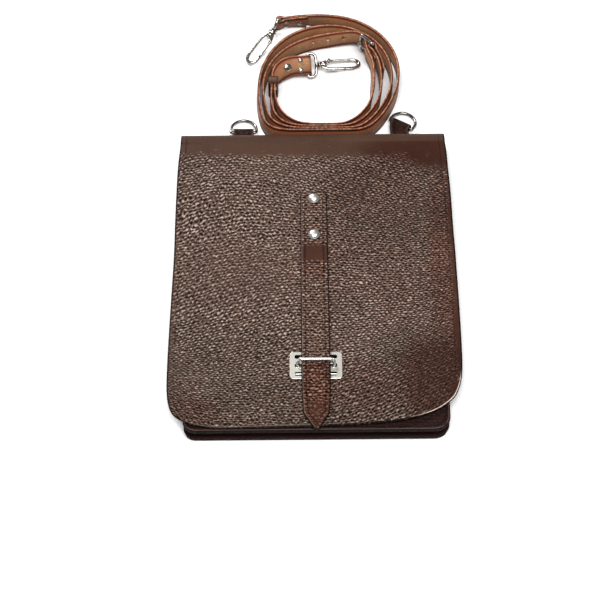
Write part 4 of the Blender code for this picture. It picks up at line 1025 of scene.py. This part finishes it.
def build_case():
    shares = np.linspace(-1.0, 1.0, CASE_COLUMNS)
    left, foot, right = back_outline()
    top = [(share * SPINE_HALF_WIDTH, SPINE_CENTRE_Y) for share in shares]
    sides = resampled(left, BACK_ROWS), resampled(right, BACK_ROWS)
    back = coons(resampled(foot, CASE_COLUMNS), *sides, top)
    back = np.concatenate((back, np.full((*back.shape[:2], 1), BACK_MID)), axis=2)

    reach = SPINE_REACH - LEATHER / 2
    rise = SPINE_HALF_HEIGHT - LEATHER / 2
    spine = []
    for c, s in arc(-math.pi / 2, math.pi / 2, SPINE_STEPS)[1:-1]:
        y, z = SPINE_CENTRE_Y + reach * c, SPINE_HALF_HEIGHT + rise * s
        spine.append([(share * SPINE_HALF_WIDTH, y, z) for share in shares])
    left, foot, right = flap_outline()
    sides = resampled(left, FLAP_ROWS), resampled(right, FLAP_ROWS)
    flap = coons(top, *sides, resampled(foot, CASE_COLUMNS))
    x, y = flap[:, :, 0], flap[:, :, 1]
    away = smoothstep(np.abs(x), 24.0, 60.0) * smoothstep(140.0 - y, 0.0, 40.0)
    sag = 0.45 * away * soft_noise(x, y, 90.0, 3) + 0.18 * away * soft_noise(x, y, 34.0, 5)
    corner = smoothstep(np.hypot(x / 132.0, (y - 20.0) / 182.0), 1.02, 1.30)
    flap = np.stack((x, y, FLAP_MID + sag - 1.3 * corner), axis=2)
    grid = np.concatenate((back, np.array(spine), flap))

    shell = Shell(grid, LEATHER, 0.7, up_at=(-20, 60))
    gone = run_lengths(grid[:, CASE_COLUMNS // 2])
    v = np.repeat(gone[:, None], CASE_COLUMNS, axis=1) * -1.0
    v[-FLAP_ROWS:] = (y - SPINE_CENTRE_Y) - gone[-FLAP_ROWS]
    v[-FLAP_ROWS:] -= grain_shift(x, y)
    worn = np.full(grid.shape[:2], 0.85)
    worn[:BACK_ROWS] = 0.4
    wander = soft_noise(x, y, 12.0, 8)
    worn[-FLAP_ROWS:] = np.clip(blend_of_spots(x, y, SMOOTH_SPOTS) * (1.0 + 0.25 * wander), 0.0, 1.0)
    tints = {}
    for key, spots in (("red", RED_SPOTS), ("shine", SHINE_SPOTS), ("shade", SHADE_SPOTS)):
        tints[key] = np.zeros(grid.shape[:2])
        tints[key][-FLAP_ROWS:] = blend_of_spots(x, y, spots)
    obj = place_shell(
        "case_shell", shell, GRAINED, "case_leather", "case_leather",
        np.stack((grid[:, :, 0], v), axis=2) / 10.0, worn=worn, **tints, edge=shell.rim_distance(),
    )
    cutters = []
    half_x, half_y = SLOT_LENGTH / 2 + GAP, SLOT_WIDTH / 2 + GAP
    for step in (-1, 0, 1):
        y = PLATE_Y + step * SLOT_PITCH
        cutters.append(block((-half_x, y - half_y, CASE_DEPTH - 5.0), (half_x, y + half_y, CASE_DEPTH + 3.0)))
    for y in RIVET_Y:
        cutters.append(rod((0.0, y, 17.0), (0.0, y, 24.0), RIVET_HOLE / 2))
    half = TAB_WIDTH / 2 + SLIT_CLEAR
    high = TAB_MID + TAB_THICK + GAP / 2 + SLIT_CLEAR
    for x, _, _ in (RING_LEFT, RING_RIGHT):
        low_corner = (x - half, SPINE_CENTRE_Y + 2.0, LEATHER + 0.1)
        cutters.append(block(low_corner, (x + half, SPINE_CENTRE_Y + SPINE_REACH + 4.0, high)))
    cut_through(obj, cutters)


def build_body():
    body = rounded_outline(BODY_HALF_WIDTH, BODY_FOOT_Y, BODY_TOP_Y, BODY_CORNER_LEFT, BODY_CORNER_RIGHT)
    line = resampled(curve_through(body, 2.0), 320)
    corners = [np.array(body[k]) for k in (CORNER_MIDDLE, -1 - CORNER_MIDDLE)]
    first, last = (int(np.argmin(np.linalg.norm(line - corner, axis=1))) for corner in corners)
    top = resampled([(-BODY_HALF_WIDTH, BODY_TOP_Y), (BODY_HALF_WIDTH, BODY_TOP_Y)], PANEL_POINTS)
    runs = line[: first + 1], line[last:][::-1], line[first : last + 1]
    sheet = coons(top, *(resampled(run, PANEL_POINTS) for run in runs))
    z = np.full((*sheet.shape[:2], 1), FRONT_UNDER + PANEL / 2)
    shell = Shell(np.concatenate((sheet, z), axis=2), PANEL, 0.6, up_at=(30, 30))
    # The front panel's edge carries a pale painted highlight (shine 1).
    place_shell(
        "front_leather", shell, BODY_SKIN_IN_PAINTED_SHADE, "front_panel", "body_leather", sheet / 10.0 + 40.0,
        worn=0.55, red=0.5, shine=1.0, edge=shell.rim_distance(),
    )

    low = LEATHER + GAP + GUSSET / 2
    high = FRONT_UNDER - GAP - GUSSET / 2
    bend, start = GUSSET_BEND, SEAM_WIDTH - GUSSET_BEND
    section = [(0.0, low)]
    section += [(start + bend * c, low + bend + bend * s) for c, s in arc(-math.pi / 2, 0.0, 6)]
    section.append((SEAM_WIDTH + GUSSET_BULGE, (low + high) / 2))
    section += [(start + bend * c, high - bend + bend * s) for c, s in arc(0.0, math.pi / 2, 6)]
    section.append((0.0, high))
    grid = []
    for inset, height in section:
        corners = [max(corner - inset, 2.0) for corner in (BODY_CORNER_LEFT, BODY_CORNER_RIGHT)]
        edge = rounded_outline(BODY_HALF_WIDTH - inset, BODY_FOOT_Y + inset, BODY_TOP_Y, *corners)
        edge = resampled(edge, GUSSET_POINTS)
        grid.append(np.concatenate((edge, np.full((GUSSET_POINTS, 1), height)), axis=1))
    grid = np.array(grid)
    uv = np.stack(np.meshgrid(run_lengths(grid[0]), run_lengths(section)), axis=2) / 10.0
    place_shell(
        "gusset_leather", Shell(grid, GUSSET, 0.3), BODY_SKIN_IN_PAINTED_SHADE, "gusset", "body_leather", uv,
        worn=0.7, red=0.4, shine=0.0, edge=2.0,
    )


def build_tongue():
    shares = np.linspace(-1.0, 1.0, 29)
    grid = np.array([[(share * half, y, z) for share in shares] for y, half, z in curve_through(TONGUE, 1.6)])
    shell = Shell(grid, TONGUE_THICK, 0.55, up_at=(10, 14))
    x, y = grid[:, :, 0], grid[:, :, 1]
    # A faint painted highlight (shine) runs along the tongue's left rim.
    obj = place_shell(
        "tongue_leather", shell, TONGUE_SKIN, "tongue_strap", "case_leather",
        np.stack((x / 10.0 + 60.0, y / 10.0), axis=2), worn=blend_of_spots(x, y, TONGUE_SMOOTH),
        red=blend_of_spots(x, y, TONGUE_RED), shine=0.12 * smoothstep(-x, 0.0, 4.0),
        edge=shell.rim_distance(),
    )
    cut_through(obj, [rod((0.0, y, 21.0), (0.0, y, 26.0), RIVET_HOLE / 2) for y in RIVET_Y])

    top = CASE_DEPTH + GAP + TONGUE_THICK + GAP
    under = CASE_DEPTH - LEATHER - GAP
    head, shank, cap = RIVET_HEAD / 2, RIVET_SHANK / 2, RIVET_CAP / 2
    profile = [
        (0.0, under - 0.9), (cap - 0.3, under - 0.9), (cap, under - 0.5), (cap, under), (shank, under),
        (shank, top), (head - 0.5, top), (head - 0.1, top + 0.15), (head, top + 0.5),
        (head - 0.15, top + 0.85), (head - 0.6, top + 1.05),
        *dome(head - 0.75, top + 1.0, RIVET_RISE - 1.0, 14),
    ]
    for name, y in zip(("rivet_upper", "rivet_lower"), RIVET_Y):
        place_piece(f"{name}_dome", turned(profile, (0.0, y, 0.0), UP, 56), DOME_METAL, name)


def rounded_loop(half_x, half_y, corner, steps=8):
    points = []
    for quarter, (sign_x, sign_y) in enumerate(((1, 1), (-1, 1), (-1, -1), (1, -1))):
        for c, s in arc(quarter * math.pi / 2, (quarter + 1) * math.pi / 2, steps):
            points.append((sign_x * (half_x - corner) + corner * c, sign_y * (half_y - corner) + corner * s))
    return np.array(points)


def build_fastener():
    half = [(x, PLATE_Y + offset, z) for x, offset, z in STAPLE_PATH]
    path = curve_through(half + [(-x, y, z) for x, y, z in reversed(half)], 0.8)
    base = rounded_loop(*STAPLE_BASE)
    low, high = STAPLE_BASE_UNDER, STAPLE_BASE_UNDER + STAPLE_BASE_THICK
    rings = []
    for inset, z in ((0.3, low), (0.0, low + 0.3), (0.0, high - 0.3), (0.3, high)):
        shrunk = base * (1.0 - inset / np.array(STAPLE_BASE[:2]))
        rings.append(np.column_stack((shrunk[:, 0], shrunk[:, 1] + PLATE_Y, np.full(len(base), z))))
    shape = joined(tube(path, STAPLE_WIRE / 2, sides=20), skin(np.array(rings)))
    place_piece("staple_wire", shape, DOME_METAL, "staple")


def build_ring(name, ring):
    turn = math.radians(ring[2])
    across = np.array((math.cos(turn), math.sin(turn), 0.0))
    out = np.array((-math.sin(turn), math.cos(turn), 0.0))
    bar = np.array((ring[0], ring[1], TAB_MID))
    reach = RING_SIDE + RING_WIDTH / 2 - RING_WIRE / 2
    droop = math.asin((TAB_MID - RING_WIRE / 2) / reach)
    away = out * math.cos(droop) - UP * math.sin(droop)
    radius = (RING_WIDTH - RING_WIRE) / 2
    path = [bar + across * x for x in np.linspace(RING_CORNER - radius, radius - RING_CORNER, 5)]
    path.append(bar + across * radius + away * RING_CORNER)
    path += [bar + across * radius * c + away * (RING_SIDE + radius * s) for c, s in arc(0.0, math.pi, 24)]
    path.append(bar - across * radius + away * RING_CORNER)
    shape = tube(curve_through(path, 1.0, closed=True), RING_WIRE / 2, closed=True, sides=18)
    place_piece(f"d_ring_{name}_wire", shape, DARK_METAL, f"d_ring_{name}", "dark_metal", f"{name}_ring")
    build_tab(name, bar, across, out)


def build_tab(name, bar, across, out):
    """Tab from inside the spine, through its slit and round the bar of a D-ring."""
    inner = np.array((1.0, 0.0, 0.0))
    apart = (TAB_THICK + GAP) / 2
    curl = FOLD_INNER + TAB_THICK / 2
    root = np.array((bar[0], TAB_ROOT_Y, TAB_MID))
    mouth = np.array((bar[0], SPINE_CENTRE_Y + SPINE_REACH + 1.5, TAB_MID))
    near = bar - out * TAB_NECK
    far = bar[1] - mouth[1] > TAB_LONG_RUN
    rising = [(root + (mouth - root) * share, inner, apart) for share in (0.0, 0.5, 1.0)]
    rising.append(((mouth + near) / 2 if far else near, unit(inner + across), apart * 1.05))
    if far:
        rising.append((near, across, apart * 1.1))
    rising.append((bar - out * 2.0, across, curl * 0.88))
    half = TAB_WIDTH / 2
    rows = [edge_points(centre + UP * lift, side, half) for centre, side, lift in rising]
    for c, s in arc(math.pi / 2, -math.pi / 2, 6):
        rows.append(edge_points(bar + out * curl * c + UP * curl * s, across, half))
    rows += [edge_points(centre - UP * lift, side, half) for centre, side, lift in reversed(rising)]
    line = curve_through(np.array(rows).reshape(len(rows), 6), 1.0)
    first, second = line[:, None, :3], line[:, None, 3:]
    grid = first + (second - first) * np.linspace(0.0, 1.0, TAB_COLUMNS)[None, :, None]
    shell = Shell(grid, TAB_THICK, 0.4)
    wide = np.linspace(0.0, TAB_WIDTH, TAB_COLUMNS) / 10.0 + 80.0
    uv = np.stack(np.meshgrid(wide, np.arange(len(line)) / 10.0), axis=2)
    # Shine paints a highlight along the tab's rim.
    place_shell(
        f"ring_tab_{name}_leather", shell, TAB_SKIN, f"ring_tab_{name}", "case_leather", uv,
        worn=0.6, red=0.4, shine=0.5, edge=shell.rim_distance(),
    )


def build_hook(name, bar, width, tip):
    """Swivel eye, hook and gate between the strap's fold and the hook's tip."""
    along = unit(np.asarray(tip) - bar)
    width = unit(width - along * (width @ along))
    flat = unit(UP - along * along[2])
    across = np.cross(flat, along)
    half = (EYE_WIDTH - EYE_WIRE) / 2
    side = [(half - 2.0, 0.0), (half, 2.0), (half, EYE_DEPTH - 3.5), (half - 3.0, EYE_DEPTH - 0.6)]
    loop = [*side, (0.0, EYE_DEPTH), *((-x, y) for x, y in reversed(side)), (0.0, 0.0)]
    loop = resampled_loop([bar + width * x + along * y for x, y in loop], 89)
    for _ in range(2):
        loop = (np.roll(loop, 1, axis=0) + 2.0 * loop + np.roll(loop, -1, axis=0)) / 4.0
    start = EYE_DEPTH + 1.9
    end = start + BARREL_LENGTH
    top = end + GAP
    shank = (
        (0.0, EYE_DEPTH - 1.0), (3.0, EYE_DEPTH - 0.9), (3.1, EYE_DEPTH + 0.6), (2.4, EYE_DEPTH + 1.3),
        (SHANK_RADIUS, EYE_DEPTH + 1.5), (SHANK_RADIUS, top), (SHANK_HEAD_RADIUS, top),
        (SHANK_HEAD_RADIUS, top + 0.6), (SHANK_HEAD_RADIUS * 0.8, top + 1.3), (0.0, top + 1.6),
    )
    shape = joined(tube(loop, EYE_WIRE / 2, closed=True), turned(shank, bar, along, 32))
    place_piece(f"swivel_eye_{name}", shape, NICKEL, f"eye_{name}")

    def at(forward, sideways):
        return bar + along * forward + across * sideways

    bracket = curve_through([at(*point) for point in HOOK_PATH], 0.9)
    share = np.linspace(0.0, 1.0, len(bracket))
    radii = HOOK_WIRE / 2 * (1.0 - 0.16 * smoothstep(share, 0.75, 1.0) + 0.06 * np.sin(share * math.pi))
    wall = (
        (0.80, start), (0.98, start + 0.5), (1.00, start + 1.2), (0.86, start + 1.9), (0.80, start + 3.0),
        (0.90, start + 4.2), (1.00, start + 5.2), (1.00, end - 0.6), (0.86, end),
    )
    barrel = (
        (0.0, start + 1.0), (BARREL_BORE, start + 0.6), (BARREL_BORE, start),
        *((BARREL_RADIUS * share_of, height) for share_of, height in wall),
        (SHANK_HEAD_RADIUS + 0.3, end), (SHANK_HEAD_RADIUS + 0.3, end - 0.3), (0.0, end - 0.3),
    )
    arm = curve_through([at(*point) for point in BRACKET_PATH], 0.9)
    pivot = at(*GATE_PATH[0])
    root = at(BRACKET_PATH[-1][0] - 2.2, BRACKET_PATH[-1][1] - 0.3)
    ear = ((0.0, 0.0), (1.5, 0.0), (1.6, 0.25), (1.6, 0.75), (1.1, 1.05), (0.0, 1.15))
    ears = []
    for out in (-flat, flat):
        place = pivot + out * (GATE_WIRE / 2 + 0.15) - along * 0.2
        ears.append(turned(ear, place, out, 24))
        ears.append(tube(resampled([root + out * 0.8, place + out * 0.5], 6), 0.75, sides=12))
    wires = tube(bracket, radii, sides=18), tube(arm, GATE_WIRE / 2)
    shape = joined(*wires, turned(barrel, bar, along, 36), *ears)
    place_piece(f"hook_{name}_wire", shape, NICKEL, f"hook_{name}", body=f"hook_{name}_body")

    gate = curve_through([at(*point) for point in GATE_PATH], 0.8)
    share = np.linspace(0.0, 1.0, len(gate))
    radii = GATE_WIRE / 2 * (1.0 - 0.18 * smoothstep(share, 0.0, 0.25) + 0.1 * smoothstep(share, 0.9, 1.0))
    place_piece(f"gate_{name}_wire", tube(gate, radii), NICKEL, f"gate_{name}", body=f"hook_{name}_gate")


def build_rivets(name, spots, frames, bar, along, side, rise=None):
    """Rivets through a strap's end, with a head on each face; side is the face that the end lies on."""
    seat = (LAYER + STRAP) / 2 + GAP * 0.4
    head, shank = SMALL_RIVET_HEAD / 2, SMALL_RIVET_SHANK / 2
    cap = [(head - 0.25, seat), (head, seat + 0.2), *dome(head, seat + 0.2, SMALL_RIVET_RISE + 0.3, 8)]
    profile = [*((r, -z) for r, z in reversed(cap)), (shank, -seat), (shank, seat), *cap]
    for number, (back, up) in enumerate(spots):
        middle, _, width, outward = nearest_frame(frames, bar - along * back)
        place = middle + (width if rise is None else rise) * up + outward * side * LAYER / 2
        node = f"{name}_{number}"
        place_piece(f"{node}_dome", turned(profile, place, outward, 28), RIVET_METAL, node)


def build_strap():
    section = strap_section()
    long_rows = roll_points(LONG_ROLL, LONG_RUNS)
    frames = strap_frames(long_rows)
    start = strap_frames(turned_round(long_rows))
    head, bar_a, (along, width) = fold(start, 1.0)
    shape, uv, side = swept([*head[::-1], *strap_rows(frames)], section, STRAP_SPACING)
    long_strap = place_piece(
        "strap_long_leather", shape, STRAP_SKIN, "strap_long", "strap_leather", uv=uv, face=side
    )
    build_rivets("rivet_a", RIVETS_A, start, bar_a, along, 1.0)
    build_hook("a", bar_a, width, HOOK_TIP_A)
    cutters = []
    table = np.array(LONG_ROLL)
    for angle in PUNCHED:
        radius, lift = (float(np.interp(-angle, -table[:, 0], table[:, k])) for k in (1, 2))
        z = STRAP_WIDTH / 2 + lift
        cutters.append(rod(polar(angle, radius - 5.0, z), polar(angle, radius + 4.0, z), PUNCHED_WIDTH / 2))

    short_rows = smoothed(np.vstack((roll_points(SHORT_ROLL, SHORT_RUNS), SHORT_END)))
    frames = strap_frames(short_rows)
    start = strap_frames(turned_round(short_rows))
    head, heel, (along, rise) = fold(start, -1.0)
    foot, bar_b, (along_b, width_b) = fold(frames, 1.0, TAIL_LENGTH + STUD_TAIL)
    shape, uv, side = swept([*head[::-1], *strap_rows(frames), *foot], section, STRAP_SPACING)
    uv = uv + (7.0, 0.0)
    short_strap = place_piece(
        "strap_short_leather", shape, STRAP_SKIN, "strap_short", "strap_leather", uv=uv, face=side
    )
    build_rivets("rivet_buckle", RIVETS_BUCKLE, start, heel, along, -1.0, rise)
    build_rivets("rivet_b", RIVETS_B, frames, bar_b, along_b, 1.0)
    middle, _, _, outward = nearest_frame(frames, bar_b - along_b * STUD_BEFORE_EYE)
    place = middle - outward * (STRAP / 2 + GAP * 0.5)
    radius = STUD_HEAD / 2
    profile = [(0.0, 0.0), (radius - 0.3, 0.0), (radius, 0.3), (radius, 0.7), *dome(radius, 0.7, 1.4, 9)]
    place_piece("stud_cap", turned(profile, place, -outward, 36), NICKEL, "stud")
    build_hook("b", bar_b, width_b, HOOK_TIP_B)

    room, slot = build_buckle(heel, rise)
    cut_through(long_strap, [*cutters, room])
    cut_through(short_strap, [slot])
    build_keeper(long_rows, short_rows)


def build_buckle(heel, up):
    """Frame and prong; gives the rods to cut from the long strap and from the short one."""
    heading = math.radians(BUCKLE_HEADING)
    ahead = np.array((math.cos(heading), math.sin(heading), 0.0))
    along = unit(ahead - up * (ahead @ up))
    toe = heel + along * BUCKLE_LENGTH
    front = unit(np.cross(along, up))
    if front @ (polar(0.0, 0.0, heel[2]) - heel) < 0:
        front = -front
    length, half = BUCKLE_LENGTH / 2, (BUCKLE_WIDTH - BUCKLE_WIRE) / 2
    outline = rounded_loop(length, half, BUCKLE_CORNER)
    loop = resampled_loop([heel + along * (forward + length) + up * rise for forward, rise in outline], 95)
    place_piece("buckle_frame_wire", tube(loop, BUCKLE_WIRE / 2, closed=True), NICKEL, "buckle_frame")

    clear = BUCKLE_WIRE / 2 + GAP + PRONG_WIRE / 2
    turn = arc(math.radians(-150.0), math.radians(90.0), 7)
    path = [heel - along * clear * c + front * clear * s for c, s in turn]
    path.append(heel + along * 4.0 + front * clear)
    path.append(toe + along * 2.2 + front * clear)
    path = curve_through(path, 0.7)
    radii = PRONG_WIRE / 2 * (1.0 - 0.35 * smoothstep(np.linspace(0.0, 1.0, len(path)), 0.85, 1.0))
    place_piece("buckle_prong_wire", tube(path, radii, sides=14), NICKEL, "buckle_prong")
    room = PRONG_WIRE / 2 + GAP
    over = rod(heel + front * clear - along * 0.4, toe + along * 2.0 + front * clear, room)
    return over, rod(heel - up * room, heel + up * room, FOLD_INNER + STRAP + 1.4)


def build_keeper(long_rows, short_rows):
    guess = polar(KEEPER_ANGLE, 60.0, 12.3)
    tail = nearest_frame(strap_frames(long_rows[-12:]), guess)
    short = nearest_frame(strap_frames(short_rows), guess)
    place = (tail[0] + short[0]) / 2
    along = unit(tail[1] + short[1])
    outward = unit(np.cross(UP, along))
    apart = abs(float((tail[0] - short[0]) @ outward))
    half_out = apart / 2 + STRAP / 2 + GAP + KEEPER_THICK / 2 + KEEPER_SLACK
    half_up = STRAP_WIDTH / 2 + GAP + KEEPER_THICK / 2 + 0.1
    wide, half, edge = KEEPER_WIDTH / 2, KEEPER_THICK / 2, KEEPER_ROUND
    loop = rounded_loop(half_out, half_up, KEEPER_CORNER, 6)
    rows = [edge_points(place + outward * sideways + UP * rise, along, wide) for sideways, rise in loop]
    face = [(edge - wide, half), (0.0, half), (wide - edge, half), (wide, half - edge), (wide, edge - half)]
    shape, uv, side = swept(rows, [*face, *((-x, -z) for x, z in face)], 0.9, closed=True)
    uv[:, 1] *= 10.0 / wide
    place_piece("keeper_leather", shape, KEEPER_SKIN, "keeper", "strap_leather", uv=uv, face=side)


def set_light(name, place, target, size, power):
    lamp = bpy.data.lights.new(name, "AREA")
    lamp.shape = "RECTANGLE"
    lamp.size, lamp.size_y = size
    lamp.energy = power
    obj = bpy.data.objects.new(name, lamp)
    bpy.context.scene.collection.objects.link(obj)
    obj.location = place
    obj.rotation_euler = (Vector(target) - Vector(place)).to_track_quat("-Z", "Y").to_euler()


def set_stage():
    corners = [(FLOOR_REACH * x, FLOOR_REACH * y, 0.0) for x, y in ((-1, -1), (1, -1), (1, 1), (-1, 1))]
    floor = mesh_object("floor", corners, [(0, 1, 2, 3)])
    paper = Shader("pale_floor").finish((0.93, 0.93, 0.93, 1.0), 0.9, Specular_IOR_Level=0.1)
    floor.data.materials.append(paper)
    floor.location.z = -FLOOR_DROP

    scene = bpy.context.scene
    world = bpy.data.worlds.new("studio")
    scene.world = world
    world.use_nodes = True
    background = world.node_tree.nodes["Background"]
    background.inputs["Color"].default_value = (1.0, 1.0, 1.0, 1.0)
    background.inputs["Strength"].default_value = WORLD_LIGHT
    scene.view_settings.view_transform = "Standard"
    scene.view_settings.look = "None"

    set_light("window", (-1.1, 2.0, 1.55), (0.0, 0.0, 0.0), (0.8, 0.5), 62.0)
    set_light("ceiling", (0.2, -0.7, 2.5), (0.0, 0.0, 0.0), (1.7, 1.3), 80.0)

    camera = bpy.data.objects.new("camera", bpy.data.cameras.new("camera"))
    scene.collection.objects.link(camera)
    camera.data.sensor_width = SENSOR_WIDTH
    camera.data.lens = SENSOR_WIDTH * FOCAL_PIXELS / FRAME_PIXELS
    camera.matrix_world = (
        Matrix.Translation(CAMERA_PLACE)
        @ Matrix.Rotation(math.radians(CAMERA_TILT), 4, "X")
        @ Matrix.Rotation(math.radians(CAMERA_ROLL), 4, "Z")
    )
    scene.camera = camera


def finish_plate():
    """The CAD plate stays in view, in a better material."""
    node = frame["nodes"]["slot_plate"]
    node.data.materials.clear()
    node.data.materials.append(PLATE_METAL)


build_case()
build_body()
build_tongue()
build_fastener()
build_ring("left", RING_LEFT)
build_ring("right", RING_RIGHT)
build_strap()
finish_plate()
set_stage()
